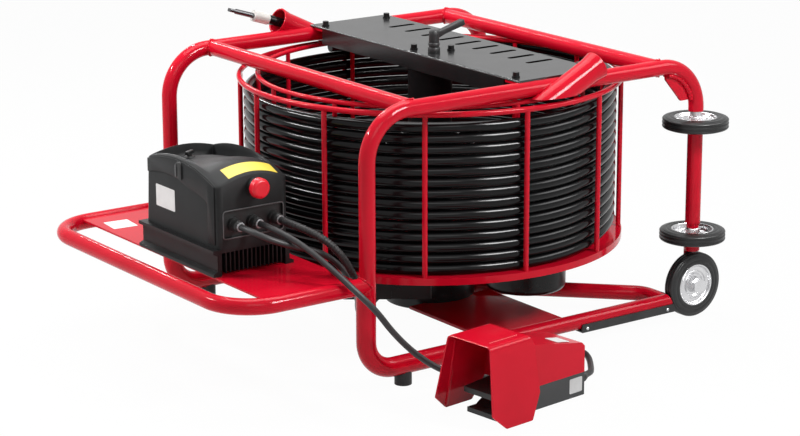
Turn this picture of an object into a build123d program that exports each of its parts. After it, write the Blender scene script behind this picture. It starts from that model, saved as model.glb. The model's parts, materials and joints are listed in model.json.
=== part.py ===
from build123d import *
import math
import os

# Flexible shaft and its coil
shaft_d = 22.6
coil_r = 397.0
turn_gap = 0.5
coil_seat = 0.3
lead_turn = 68.0
lead_sink = 0.9
lead_out_run = 25.0
lead_drop = 70.0
lead_drop_bend = 100.0
lead_fill = 0.75
climb_lead = 34.0
coil_stop = 86.0
coil_samples = 4000
sample_window = 40
sample_step = 5

# Basket
basket_height = 196.0
floor_sheet = 3.0
floor_edge = 7.0
floor_rim = 15.0
outer_bar_d = 11.0
inner_bar_d = 10.0
outer_ring_d = 12.0
inner_ring_d = 10.0
outer_bar_gap = 3.2
inner_bar_gap = 3.7
bar_count = 12
bar_lead = 68.2
outer_ring_drop = 16.15
inner_ring_drop = 10.15
coil_top_gap = 2.0

# Frame tubes
tube_d = 33.7
tube_wall = 2.6
upright_gap = 12.0
hoop_inset = 42.3
hoop_top = 573.0
hoop_bend = 100.0
runner_height = 45.0
runner_bend = 60.0
cross_tube_x = 325.5
spindle_tail = 7.0
guard_t = 7.0
guard_gap = 2.75
guard_reach = 175.0
socket_play = 0.1
weld_gap = 0.05
bolt_play = 0.1

# Gusset in the front right corner
gusset_t = 6.0
gusset_reach = 91.0
gusset_drop = 79.0
gusset_edge = 28.0
gusset_foot = 47.0

# Platform
platform_height = 224.6
platform_reach = 312.0
platform_bend = 100.0
plate_t = 4.0
plate_rise = 6.4
plate_inset = 19.0
plate_depth = 217.0

# Feet and wear strips
foot_d = 36.0
foot_x = 87.0
skid_t = 3.0
skid_h = 18.0
skid_gap = 1.0

# Wheels
wheel_d = 145.0
wheel_w = 28.0
rim_r = 45.0
rim_band = 4.0
rim_web = 4.0
rim_dish = 5.0
hub_len = 30.1
wheel_hub_r = 16.0
axle_d = 20.0
run_play = 0.05
side_play = 0.3
wheel_shift = 4.0
wheel_gap = 4.0
tread_groove = 4.0
tread_t = 2.0
tread_edge = 3.5
tyre_bead = 5.0
tyre_shoulder = 7.5
rim_lip = 3.0
rim_step = 6.0
rim_ease = 4.0

# Wheel brackets, axles and the upright spindle
bracket_t = 6.0
bracket_near = 66.0
bracket_side = 27.0
bracket_low = 19.0
bracket_high = 34.0
bracket_air = 6.0
spacer_t = 10.65
spacer_r = 13.5
nut_af = 30.0
nut_t = 8.0
washer_t = 2.0
washer_r = 17.0
stub_len = 15.65

# Base, hub and centre post
brace_corner_x = 365.0
brace_corner_y = 75.7
brace_bend = 50.0
base_plate_t = 6.0
base_plate_drop = 2.0
base_plate_half = 109.0
base_plate_start = 72.0
hub_r = 100.0
hub_low = 28.0
hub_wall = 5.0
hub_floor = 6.0
hub_head_gap = 21.0
boss_r = 12.0
boss_reach = 18.0
supply_boss = (183.0, 88.0)
motor_boss = (200.0, 86.0)
post_r = 30.0
post_flange_r = 60.0
post_flange_t = 8.0
shoulder_r = 42.0
shoulder_t = 10.0
cap_r = 58.0
cap_t = 9.0
thrust_t = 7.8
thrust_play = 0.2
sleeve_r = 48.5
bush_t = 4.0
bush_len = 30.0
bush_inset = 4.0
sleeve_drop = 78.0
sleeve_head_gap = 15.0
slip_ring_t = 13.5
slip_ring_len = 20.0
slip_ring_rise = 7.0
brush_gap = 0.5
brush_w = 24.0

# Drive under the basket floor
motor_r = 87.0
motor_hang = 91.0
motor_round = 12.0
motor_flange = 9.0
motor_flange_t = 8.0
motor_gap = 8.0
motor_angle = -76.0
motor_play = 1.0
gear_r = 60.0
gear_h = 46.0
drive_rise = 21.0
drive_boss_r = 18.0
drive_boss_len = 80.0
coupling_r = 18.0
coupling_len = 45.0
stub_r = 8.0
stub_depth = 25.0
stub_air = 1.0
drive_gap = 0.5
terminal_angle = -125.7
terminal_near = 182.0
terminal_depth = 90.0
terminal_len = 190.0
terminal_groove_at = 64.0
terminal_groove_w = 21.0
terminal_groove_d = 4.0
terminal_round = 6.0

# Top bar, bolts and clamping lever
bar_left = 58.0
bar_right = 158.0
bar_t = 4.0
bar_flange = 38.0
bar_round = 3.6
bar_over = 3.3
bar_flange_gap = 2.0
bar_notch_gap = 1.0
slot_count = 9
slot_len = 70.0
slot_w = 15.0
slot_x = 104.0
slot_span = 500.0
tab_t = 6.0
tab_w = 36.0
tab_len = 33.0
tab_weld = 12.0
end_bolt_in = 31.7
end_bolt_x = (-38.0, 132.0)
cap_bolts = ((-34.0, 13.0), (24.0, -44.0))
bolt_d = 8.0
bolt_head_af = 13.0
bolt_head_t = 11.0
bolt_flange_r = 8.5
bolt_flange_t = 3.0
lever_x = -18.0
lever_y = -39.0
lever_hub_r = 12.0
lever_hub_h = 48.0
lever_arm = 75.0
lever_lift = 21.0
lever_screw_r = 5.0
lever_tip_gap = 1.0
lever_arm_d = 16.8
lever_knob_r = 10.8

# Shaft guides
guide_d = 54.0
guide_wall = 3.0
guide_tilt = 26.0
guide_x = 132.0
guide_out = 23.3
guide_rise = 35.0
guide_flare = 3.0
guide_lip = 22.0

# Lead-out and shaft end
end_tilt = 17.8
collar_d = 26.0
collar_len = 40.0
core_d = 12.0
core_out = 66.0
core_in = 34.0
core_flat = 8.0
core_flat_len = 18.0
journal_d = 10.0
lead_out_tail = 44.0
lead_out_points = [(4.5, -1.1, -16.93), (-28.0, -2.5, -12.5), (-72.0, -3.0, 7.0), (-120.0, -2.0, 29.0)]

# Control box
box_x = 144.0
box_front = -187.0
sink_w = 192.0
sink_back = 111.0
sink_h = 55.0
sink_top = 7.0
sink_fin = 3.0
sink_fins = 14
sink_foot = 6.0
sink_side = 10.0
housing_w = 166.0
housing_back = 100.0
housing_back_top = 91.0
housing_h = 159.0
housing_front_h = 126.0
housing_back_h = 139.0
housing_arch = 24.0
crest_y = -45.0
housing_wall = 4.0
housing_front_wall = 14.0
housing_round = 10.0
lid_w = 116.0
lid_y = (-70.0, 50.0)
lid_depth = 9.0
knob_r = 9.0
knob_h = 7.0
knob_sink = 4.0
knob_y = -25.0
panel_w = 141.0
panel_low = 22.0
panel_h = 55.0
panel_depth = 8.0
panel_t = 3.0
gland_x = (-45.0, 0.0, 50.0)
gland_rise = 48.0
gland_r = 14.0
gland_len = 25.0
gland_tip_r = 8.5
gland_nut = 9.0
gland_step = 2.0
gland_taper = 8.0
stop_rise = 122.0
stop_collar_r = 17.0
stop_collar_len = 14.0
stop_r = 21.0
stop_head = 17.0
stop_stem_r = 10.0
stop_gap = 6.0
stop_stem_in = 8.0

# Foot switch, in its own frame with X towards the cable
pedal_place = (-340.0, -633.5, 0.0)
pedal_yaw = 7.0
sheet = 3.0
hood_top = 164.0
hood_front = -36.0
hood_rear = 72.0
hood_half = 59.0
hood_flare = 28.0
hood_back = 83.0
hood_back_low = 84.0
hood_fold = 12.0
hood_corner = 6.0
hood_ramp = 19.0
cheek_foot = 1.0
cheek_toe = 14.0
cheek_toe_h = 30.0
cheek_start = 19.0
cheek_heel = 28.0
cheek_heel_h = 51.0
cover_half = 47.0
cover_len = 160.0
cover_nose_h = 140.0
cover_tail_h = 111.0
cover_tail = 8.0
base_h = 48.0
base_floor = 5.0
base_wall = 5.0
toe_half = 41.0
toe_t = 10.0
toe_rise = 17.0
toe_flat = 24.9
toe_bend = 45.7
toe_bend_rise = 11.9
treadle_half = 45.0
treadle_neck = 34.0
treadle_t = 7.0
treadle_front = -5.0
treadle_dip = 9.0
treadle_lip = 4.0
treadle_lip_len = 10.0
hinge_in = 27.0
hinge_z = 62.0
hinge_pin_r = 4.0
barrel_r = 8.0
ear_t = 6.0
ear_w = 20.0
ear_play = 0.3
pedal_gland_y = -23.0
pedal_gland_z = 28.0
pedal_gland_len = 28.0

# Cables, point by point from the box to their far ends
pedal_cord_d = 13.0
supply_d = 13.0
motor_cable_d = 15.0
bend_fill = 0.45
pedal_cord_route = [
    (-580, -212, 338), (-580, -240, 338), (-571, -273, 332), (-547, -320, 311), (-517, -375, 271),
    (-488, -423, 227), (-452, -435, 187), (-415, -439, 136), (-371, -448, 88), (-320, -455, 48),
    (-265, -466, 20), (-200, -468, 8), (-140, -456, 7), (-85, -434, 7), (-36, -408, 7),
    (4, -399, 7), (37, -408, 7), (58, -433, 8), (61, -467, 9), (43, -502, 11),
    (17, -538, 15), (-6, -567, 19), (-27, -593, 23.5), (-47, -615, 27), (-68.2, -623.3, 28)]
supply_route = [
    (-625, -212, 338), (-625, -244, 338), (-612, -272, 330), (-586, -287, 317), (-551, -292, 304),
    (-510, -296, 291), (-471, -304, 270), (-440, -311, 235), (-414, -306, 193), (-384, -274, 152),
    (-349, -226, 116), (-311, -168, 94), (-271, -107, 86), (-229, -51, 87), (-177, -14, 88),
    (-117.9, -6.2, 88)]
motor_route = [
    (-530, -212, 338), (-530, -240, 338), (-522, -268, 334), (-502, -298, 322), (-480, -320, 302),
    (-461, -336, 274), (-446, -345, 240), (-428, -343, 201), (-401, -319, 160), (-365, -274, 124),
    (-326, -221, 98), (-284, -164, 85), (-240, -112, 84), (-180, -66, 86), (-110.9, -40.4, 86)]

# Sizes that follow from the ones above
tube_r = tube_d / 2
bolt_hole_r = bolt_d / 2 + bolt_play
shaft_r = shaft_d / 2
pitch = shaft_d + turn_gap
outer_cage_r = coil_r + shaft_r + outer_bar_gap + outer_bar_d / 2
inner_cage_r = coil_r - shaft_r - inner_bar_gap - inner_bar_d / 2
floor_r = outer_cage_r + floor_edge
hoop_x = floor_r + upright_gap
hoop_y = floor_r - hoop_inset
top_low = hoop_top - tube_r
bar_low = hoop_top + tube_r
bar_high = bar_low + bar_t
outer_ring_z = top_low - outer_ring_drop
inner_ring_z = top_low - inner_ring_drop
coil_z = basket_height + coil_seat + lead_sink + shaft_r
coil_turns = int((outer_ring_z - coil_top_gap - coil_z) / pitch)
motor_reach = inner_cage_r - inner_bar_d / 2 - motor_gap - motor_r - motor_flange
drive_angle = motor_angle + 90
coil_angle = drive_angle + lead_turn - 90
bar_angle = motor_angle + bar_lead
wheel_r = wheel_d / 2
wheel_x = hoop_x + wheel_shift
runner_end = wheel_x - wheel_r / 2
bracket_top = wheel_d + bracket_air + bracket_t
spindle_end = hoop_top - hoop_bend - spindle_tail
high_wheel_z = spindle_end - spacer_t - side_play - hub_len / 2
mid_wheel_z = bracket_top + stub_len + side_play + hub_len / 2
hub_top = basket_height - floor_sheet - hub_head_gap
sleeve_low = basket_height - sleeve_drop
sleeve_top = hoop_top - sleeve_head_gap
plate_top = platform_height + plate_rise + plate_t
box_mid = -(hoop_x + box_x)
sink_high = plate_top + sink_h

parts = {}
cords = ["supply_cable", "motor_cable", "pedal_cord"]


def polar(radius, angle, z=0.0):
    """A point at a radius and an angle about the basket axis."""
    turn = math.radians(angle)
    return Vector(radius * math.cos(turn), radius * math.sin(turn), z)


def tube(path, diameter, wall=0.0):
    """A bent tube along a path, or a round bar where it has no wall."""
    section = Circle(diameter / 2)
    if wall:
        section -= Circle(diameter / 2 - wall)
    return sweep(Plane(origin=path @ 0, z_dir=path % 0) * section, path=path)


def drum(radius, low, high, bore=0.0):
    """An upright disc or ring between two heights."""
    ring = Circle(radius)
    if bore:
        ring -= Circle(bore)
    return extrude(Pos(0, 0, low) * ring, high - low)


def rod(start, end, radius, bore=0.0):
    """A straight round bar or ring between two points."""
    start = Vector(*start)
    run = Vector(*end) - start
    ring = Circle(radius)
    if bore:
        ring -= Circle(bore)
    return extrude(Plane(origin=start, z_dir=run) * ring, run.length)


def block(x, y, z):
    """A box between pairs of limits along X, Y and Z."""
    size = (x[1] - x[0], y[1] - y[0], z[1] - z[0])
    middle = ((x[0] + x[1]) / 2, (y[0] + y[1]) / 2, (z[0] + z[1]) / 2)
    return Pos(*middle) * Box(*size)


def upright_plate(points, low, high):
    """A flat plate with an outline in X and Z, between two Y planes."""
    outline = make_face(Polyline(*[(x, low, z) for x, z in points], close=True))
    return extrude(outline, high - low, dir=(0, 1, 0))


def pair(solid):
    """A piece and its twin on the far side of the machine."""
    return Compound(children=[solid, mirror(solid, Plane.XZ)])


# Hoops: one bent tube on each side, from the runner up, over and down
def hoop_path(side, right_end):
    y = side * hoop_y
    corners = [
        (runner_end, y, runner_height), (-hoop_x, y, runner_height),
        (-hoop_x, y, hoop_top), (hoop_x, y, hoop_top), (hoop_x, y, right_end)]
    return FilletPolyline(*corners, radius=[runner_bend, hoop_bend, hoop_bend])


def guide_axis(side):
    """Mouth of a shaft guide and the direction that it points in."""
    mouth = Vector(-side * guide_x, side * (hoop_y + guide_out), hoop_top + guide_rise)
    tilt = math.radians(guide_tilt)
    return mouth, Vector(-side * math.cos(tilt), 0, math.sin(tilt))


def guide_body(side, radius):
    """Round body of a guide down to the underside of the hoop."""
    mouth, way = guide_axis(side)
    depth = (mouth.Z - top_low + guide_d) / way.Z
    body = rod(mouth - way * depth, mouth, radius)
    keep = block((-hoop_x, hoop_x), (-2 * hoop_y, 2 * hoop_y), (top_low, 2 * hoop_top))
    return body & keep


def guide_outer(side, extra=0.0):
    """Outer form of a guide with its flared lip, grown where something is cut round it."""
    mouth, way = guide_axis(side)
    near = guide_d / 2 + extra
    lip = Cone(near, near + guide_flare, guide_lip, align=(Align.CENTER, Align.CENTER, Align.MAX))
    return guide_body(side, near) + Plane(origin=mouth, z_dir=way) * lip


def wheel_room(side, half):
    """Space kept free round a floor wheel, which the tube ends are coped to."""
    y = side * hoop_y
    return rod((wheel_x, y - half, wheel_r), (wheel_x, y + half, wheel_r), wheel_r + wheel_gap)


def hoop(side, right_end):
    made = tube(hoop_path(side, right_end), tube_d, tube_wall) - wheel_room(side, tube_d)
    for x in end_bolt_x:
        near = side * (hoop_y - tab_weld)
        far = side * (hoop_y - tab_weld - tab_len)
        tab = block((x - tab_w / 2, x + tab_w / 2), sorted((near, far)), (bar_low - tab_t, bar_low))
        hole = Pos(x, side * (hoop_y - end_bolt_in), 0) * drum(bolt_hole_r, bar_low - 2 * tab_t, bar_high)
        made = made + (tab - hole)
    return made - guide_outer(side, weld_gap)


parts["front_hoop"] = hoop(-1, spindle_end)
parts["rear_hoop"] = hoop(1, bracket_top)

# Cross tubes that tie the hoops together at the top
cope_r = tube_r + weld_gap
cross_cut = rod((-hoop_x, -hoop_y, hoop_top), (hoop_x, -hoop_y, hoop_top), cope_r)
cross_cut += rod((-hoop_x, hoop_y, hoop_top), (hoop_x, hoop_y, hoop_top), cope_r)
cross = []
for x in (-cross_tube_x, cross_tube_x):
    bar = rod((x, -hoop_y, hoop_top), (x, hoop_y, hoop_top), tube_r, tube_r - tube_wall)
    cross.append(bar - cross_cut)
parts["cross_tubes"] = Compound(children=cross)

# Half shells that guard the outside of the lower left bends
guard_top = platform_height - tube_r - guard_gap
guard_path = FilletPolyline(
    (-hoop_x, -hoop_y, guard_top), (-hoop_x, -hoop_y, runner_height),
    (guard_reach - hoop_x, -hoop_y, runner_height), radius=runner_bend)
guard_r = tube_r + guard_t
guard_face = Circle(guard_r) - Circle(tube_r + weld_gap)
guard_face &= Pos(guard_r, 0, 0) * Rectangle(2 * guard_r, 2 * guard_r)
guard_plane = Plane(origin=guard_path @ 0, x_dir=(-1, 0, 0), z_dir=guard_path % 0)
parts["bend_guards"] = pair(sweep(guard_plane * guard_face, path=guard_path))

# Gusset plate in the front right corner
gusset = upright_plate(
    [(hoop_x - gusset_reach, hoop_top), (hoop_x - gusset_reach, hoop_top - gusset_edge),
     (hoop_x - gusset_foot, hoop_top - gusset_drop), (hoop_x, hoop_top - gusset_drop),
     (hoop_x, hoop_top)], -hoop_y - gusset_t / 2, -hoop_y + gusset_t / 2)
bend_mid = (hoop_x - hoop_bend, hoop_top - hoop_bend)
bend_disc = rod((bend_mid[0], -hoop_y - tube_r, bend_mid[1]),
                (bend_mid[0], tube_r - hoop_y, bend_mid[1]), hoop_bend)
gusset &= bend_disc
parts["corner_gusset"] = gusset - tube(hoop_path(-1, spindle_end), 2 * cope_r)

# Platform loop, coped onto the left uprights, and its plate
platform_x = -hoop_x - platform_reach
loop_path = FilletPolyline(
    (-hoop_x, -hoop_y, platform_height), (platform_x, -hoop_y, platform_height),
    (platform_x, hoop_y, platform_height), (-hoop_x, hoop_y, platform_height), radius=platform_bend)
uprights = pair(Pos(-hoop_x, -hoop_y, 0) * drum(cope_r, runner_height + runner_bend, hoop_top - hoop_bend))
parts["platform_loop"] = tube(loop_path, tube_d, tube_wall) - uprights
plate_right = -hoop_x - plate_inset
plate = block((plate_right - plate_depth, plate_right), (-hoop_y, hoop_y), (plate_top - plate_t, plate_top))
parts["platform_plate"] = plate - tube(loop_path, 2 * cope_r)

# Diagonal brace tubes and base plates between hub and runners
hub_core = drum(hub_r, hub_low, hub_top)
hub_cope = drum(hub_r + weld_gap, hub_low, hub_top)
runners = rod((-hoop_x, -hoop_y, runner_height), (runner_end, -hoop_y, runner_height), cope_r)
runners -= wheel_room(-1, tube_d)
corner_y = hoop_y - brace_corner_y
brace_path = FilletPolyline(
    (brace_corner_x - corner_y, 0, runner_height), (brace_corner_x, -corner_y, runner_height),
    (brace_corner_x, -hoop_y, runner_height), radius=brace_bend)
brace_rod = tube(brace_path, 2 * cope_r)
brace = tube(brace_path, tube_d, tube_wall) - hub_cope - runners
parts["braces"] = pair(brace - wheel_room(-1, wheel_w / 2 + wheel_gap))
base_high = runner_height - base_plate_drop
base_plate = block((-base_plate_half, base_plate_half), (-hoop_y, -base_plate_start),
                   (base_high - base_plate_t, base_high))
parts["base_plates"] = pair(base_plate - hub_cope - runners - brace_rod)

# Rubber feet, saddled onto the guards, and the wear strips under the runners
foot = Pos(-hoop_x + foot_x, -hoop_y, 0) * drum(foot_d / 2, 0, runner_height)
foot -= rod((-hoop_x, -hoop_y, runner_height), (0, -hoop_y, runner_height), guard_r + weld_gap)
parts["rubber_feet"] = pair(foot)
skid_start = base_plate_half + skid_gap
skid_low = runner_height - tube_r - weld_gap - skid_t
skid_out = tube_r + weld_gap + skid_t
skid = block((skid_start, runner_end), (-hoop_y - skid_out, skid_out - hoop_y), (skid_low, skid_low + skid_h))
skid -= block((skid_start, runner_end), (-hoop_y - skid_out + skid_t, skid_out - skid_t - hoop_y),
              (skid_low + skid_t, runner_height))

# Wheel brackets: a cheek behind the wheel, welded to runner and brace, and a head plate over it
inner_y = hoop_y - hub_len / 2 - side_play - bracket_t
outer_y = hoop_y + tube_r
cheek_near = wheel_x - bracket_near
cheek_low = runner_height - bracket_low
cheek = upright_plate(
    [(cheek_near, cheek_low), (cheek_near, runner_height + bracket_high), (hoop_x - tube_r, bracket_top),
     (hoop_x + tube_r, bracket_top), (wheel_x + bracket_side, runner_height + tube_r),
     (wheel_x + wheel_gap, cheek_low)], -inner_y - bracket_t, -inner_y)
head_plate = block((hoop_x - tube_r, hoop_x + tube_r), (-outer_y, -inner_y),
                   (bracket_top - bracket_t, bracket_top))
axle_hole = rod((wheel_x, -outer_y, wheel_r), (wheel_x, 0, wheel_r), axle_d / 2)
parts["wheel_brackets"] = pair(cheek + head_plate - axle_hole - brace_rod - runners)
parts["skids"] = pair(skid - brace_rod - cheek - wheel_room(-1, tube_d))

# Short axles of the floor wheels, with nut and washer at each end
hub_out = hoop_y + hub_len / 2 + side_play
axle = rod((wheel_x, -hub_out - washer_t - nut_t, wheel_r), (wheel_x, -inner_y + nut_t, wheel_r), axle_d / 2)
axle += rod((wheel_x, -hub_out - washer_t, wheel_r), (wheel_x, -hub_out, wheel_r), washer_r)
nut_plane = Plane(origin=(wheel_x, 0, wheel_r), z_dir=(0, -1, 0))
nut = extrude(nut_plane * RegularPolygon(nut_af / 2, 6, False), nut_t)
axle += Pos(0, -hub_out - washer_t, 0) * nut
axle += Pos(0, -inner_y + nut_t, 0) * nut
parts["lower_axles"] = pair(axle)

# Upright spindle of the two front wheels, plugged into the end of the hoop
hub_half = hub_len / 2 + side_play
spindle = drum(axle_d / 2, bracket_top, spindle_end)
spindle += drum(spacer_r, high_wheel_z + hub_half, spindle_end)
spindle += drum(tube_r - tube_wall - socket_play, spindle_end, hoop_top - hoop_bend)
parts["upper_axle"] = Pos(hoop_x, -hoop_y, 0) * spindle
spindle_bore = axle_d / 2 + 2 * socket_play
low_sleeve = drum(tube_r, bracket_top, bracket_top + stub_len, spindle_bore)
sleeve_foot = mid_wheel_z + hub_half
high_sleeve = drum(spacer_r, sleeve_foot, sleeve_foot + spacer_t, spindle_bore)
high_sleeve += drum(tube_r, sleeve_foot + spacer_t, high_wheel_z - hub_half, spindle_bore)
parts["spindle_sleeves"] = Compound(children=[
    Pos(hoop_x, -hoop_y, 0) * low_sleeve, Pos(hoop_x, -hoop_y, 0) * high_sleeve])


# Wheels: ribbed rubber tyre on a pressed, dished rim
def tyre():
    half = wheel_w / 2
    seat = half - rim_lip
    base = wheel_r - tread_t
    edge = half - tread_edge
    outline = Polyline(
        (rim_r, -seat), (rim_r, seat), (rim_r + tyre_bead, half), (wheel_r - tyre_shoulder, half),
        (base, edge), (base, -edge), (wheel_r - tyre_shoulder, -half), (rim_r + tyre_bead, -half), close=True)
    solid = make_face(outline)
    width = 2 * (edge - tread_groove) / 3
    for rib in (-1, 0, 1):
        solid += Pos(base, rib * (width + tread_groove)) * Rectangle(2 * tread_t, width)
    return revolve(Plane.XZ * solid, Axis.Z)


def rim():
    half = wheel_w / 2 - rim_lip
    band = rim_r - rim_band
    outline = Polyline(
        (axle_d / 2 + run_play, -hub_len / 2), (wheel_hub_r, -hub_len / 2),
        (wheel_hub_r, -rim_dish - rim_web / 2), (wheel_hub_r + rim_step, -rim_dish - rim_web / 2),
        (band - rim_ease, rim_dish - rim_web / 2), (band, rim_dish - rim_web / 2),
        (band, -half), (rim_r, -half), (rim_r, half), (band, half),
        (band, rim_dish + rim_web / 2), (band - rim_step, rim_dish + rim_web / 2),
        (wheel_hub_r + rim_ease, rim_web / 2 - rim_dish), (wheel_hub_r, rim_web / 2 - rim_dish),
        (wheel_hub_r, hub_len / 2), (axle_d / 2 + run_play, hub_len / 2), close=True)
    return revolve(Plane.XZ * make_face(outline), Axis.Z)


tyre_form = tyre()
rim_form = rim()
wheel_places = {
    "front": Pos(wheel_x, -hoop_y, wheel_r) * Rot(90, 0, 0),
    "rear": Pos(wheel_x, hoop_y, wheel_r) * Rot(-90, 0, 0),
    "high": Pos(hoop_x, -hoop_y, high_wheel_z),
    "mid": Pos(hoop_x, -hoop_y, mid_wheel_z) * Rot(180, 0, 0)}
for name, place in wheel_places.items():
    parts[name + "_tyre"] = place * tyre_form
    parts[name + "_rim"] = place * rim_form

# Hub housing: an open can with two cable bosses
housing_can = hub_core - drum(hub_r - hub_wall, hub_low + hub_floor, hub_top)
for angle, z in (supply_boss, motor_boss):
    boss = rod(polar(hub_r - hub_wall / 2, angle, z), polar(hub_r + boss_reach, angle, z), boss_r)
    housing_can += boss
parts["hub_housing"] = housing_can

# Centre post with its cap, and the thrust ring that carries the basket
post_low = hub_low + hub_floor
shoulder_top = sleeve_low - thrust_play - thrust_t
post_top = bar_low - cap_t
post = drum(post_r, post_low, post_top)
post += drum(post_flange_r, post_low, post_low + post_flange_t)
parts["centre_post"] = post + drum(shoulder_r, shoulder_top - shoulder_t, shoulder_top)
cap = drum(cap_r, post_top, bar_low)
cap -= block((-cap_r, bar_t - bar_left + weld_gap), (-cap_r, cap_r), (post_top, bar_low))
for x, y in cap_bolts:
    cap -= Pos(x, y, 0) * drum(bolt_hole_r, post_top - cap_t, bar_high)
lever_hole = Pos(lever_x, lever_y, 0) * drum(lever_screw_r + run_play, post_top - cap_t, bar_high + bar_t)
parts["post_cap"] = cap - lever_hole
parts["thrust_ring"] = drum(shoulder_r, shoulder_top, shoulder_top + thrust_t, post_r + socket_play)

# Turning sleeve with its bushes and slip ring, and the brush block on the hub
sleeve_bore = post_r + run_play + bush_t
parts["hub_sleeve"] = drum(sleeve_r, sleeve_low, sleeve_top, sleeve_bore)
low_bush = sleeve_low + bush_inset
high_bush = sleeve_top - bush_inset - bush_len
parts["hub_bushes"] = Compound(children=[
    drum(sleeve_bore, z, z + bush_len, post_r + run_play) for z in (low_bush, high_bush)])
slip_low = sleeve_low + slip_ring_rise
slip_r = sleeve_r + slip_ring_t
parts["slip_ring"] = drum(slip_r, slip_low, slip_low + slip_ring_len, sleeve_r)
brush = block((-hub_r, -slip_r - brush_gap), (-brush_w / 2, brush_w / 2),
              (slip_low, slip_low + slip_ring_len))
parts["brush_block"] = brush & drum(hub_r - hub_wall, slip_low, hub_top)

# Basket floor: a disc with a turned-down rim, open for the sleeve and the motor
floor_low = basket_height - floor_sheet
basket_floor = drum(floor_r, floor_low, basket_height, sleeve_r)
basket_floor += drum(floor_r, basket_height - floor_rim, basket_height, floor_r - floor_sheet)
motor_mid = polar(motor_reach, motor_angle)
motor_place = Pos(motor_mid.X, motor_mid.Y, 0)
parts["basket_floor"] = basket_floor - motor_place * drum(motor_r + motor_play, floor_low, basket_height)


# Cages: a ring of round bar on upright bars
def cage(radius, bar_d, ring_d, ring_z):
    ring = Pos(0, 0, ring_z) * Torus(radius, ring_d / 2)
    bars = []
    for step in range(bar_count):
        foot = polar(radius, bar_angle + step * 360 / bar_count)
        bars.append(Pos(foot.X, foot.Y, 0) * drum(bar_d / 2, basket_height, ring_z - ring_d / 3))
    return ring + bars


parts["outer_cage"] = cage(outer_cage_r, outer_bar_d, outer_ring_d, outer_ring_z)
parts["inner_cage"] = cage(inner_cage_r, inner_bar_d, inner_ring_d, inner_ring_z)

# Motor hung through the floor, its gear head and the drive coupling
flange_top = basket_height + motor_flange_t
can = drum(motor_r, basket_height - motor_hang, flange_top)
can = fillet(can.edges().sort_by(Axis.Z)[0], motor_round)
parts["motor_body"] = motor_place * (can + drum(motor_r + motor_flange, basket_height, flange_top))
drive_z = flange_top + drive_rise
drive_way = polar(1, drive_angle)


def drive_point(reach):
    """A point on the drive axis at a reach from the motor's middle."""
    return Vector(motor_mid.X, motor_mid.Y, drive_z) + drive_way * reach


gear = motor_place * drum(gear_r, flange_top, flange_top + gear_h)
gear += rod(drive_point(0), drive_point(drive_boss_len), drive_boss_r)
stub_start = drive_boss_len - stub_depth
stub_hole = rod(drive_point(stub_start - stub_air), drive_point(drive_boss_len), stub_r + run_play)
parts["gear_head"] = gear - stub_hole
coupling_start = drive_boss_len + drive_gap
coupling_end = coupling_start + coupling_len
coupling = rod(drive_point(coupling_start), drive_point(coupling_end), coupling_r)
parts["drive_coupling"] = coupling + rod(drive_point(stub_start), drive_point(coupling_start), stub_r)

# Terminal box under the floor, with a vertical groove in its outer face
terminal = block((terminal_near, terminal_near + terminal_depth), (-terminal_len, 0),
                 (basket_height - motor_hang, floor_low))
terminal = fillet(terminal.edges().filter_by(Axis.Z), terminal_round)
groove_far = terminal_near + terminal_depth
groove = block((groove_far - terminal_groove_d, groove_far),
               (-terminal_groove_at - terminal_groove_w, -terminal_groove_at),
               (basket_height - motor_hang, floor_low))
parts["terminal_box"] = Rot(0, 0, terminal_angle) * (terminal - groove)


# Flexible shaft: from the coupling to the floor's edge and up in a coil, one unbroken tube
def biarc(start, start_way, end, end_way):
    """Two tangent arcs between two points with given directions."""
    run = end - start
    a = 2 * (1 - start_way.dot(end_way))
    b = run.dot(start_way + end_way)
    reach = (math.sqrt(b * b + a * run.dot(run)) - b) / a
    first = start + start_way * reach
    last = end - end_way * reach
    middle = (first + last) * 0.5
    return [TangentArc(start, middle, tangent=start_way), TangentArc(middle, end, tangent=last - first)]


def coil_point(angle, level):
    """A point of the coil on one of its level turns."""
    return polar(coil_r, angle, coil_z + pitch * level)


def coil_way(angle):
    return polar(1, angle + 90)


coil_start = coil_point(coil_angle, 0) - coil_way(coil_angle) * shaft_d
lead_start = drive_point(coupling_end + drive_gap)
lead_bow = lead_start + drive_way * lead_out_run
gap = coil_start - lead_start
across = coil_way(coil_angle)
side_run = (drive_way.X * gap.Y - drive_way.Y * gap.X) / (drive_way.X * across.Y - drive_way.Y * across.X)
lead_corner = coil_start - across * side_run
lead_level = Vector(lead_bow.X, lead_bow.Y, lead_corner.Z) + drive_way * lead_drop
lead_bend = lead_fill * side_run / math.tan(math.radians(lead_turn / 2))
lead_path = FilletPolyline(lead_start, lead_bow, lead_level, lead_corner, coil_start,
                           radius=[lead_drop_bend, lead_drop_bend, lead_bend])
shaft_edges = list(lead_path.edges())
shaft_edges.append(Line(coil_start, coil_point(coil_angle, 0)))

# Each turn lies level for three quarters and climbs to the next before it comes round to the lead
stations = [(coil_angle, 0)]
for quarter in range(1, 4 * coil_turns + 2):
    stations.append((coil_angle - climb_lead + 90 * quarter, quarter // 4))
stations.append((coil_stop + 360 * coil_turns, coil_turns))
for (angle, level), (next_angle, next_level) in zip(stations, stations[1:]):
    shaft_edges += biarc(coil_point(angle, level), coil_way(angle),
                         coil_point(next_angle, next_level), coil_way(next_angle))
coil_end = coil_point(*stations[-1])
shaft_edges.append(Line(coil_end, coil_end + coil_way(coil_stop) * shaft_d))
shaft_path = Wire(shaft_edges)
parts["flex_shaft"] = tube(shaft_path, shaft_d)

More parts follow.
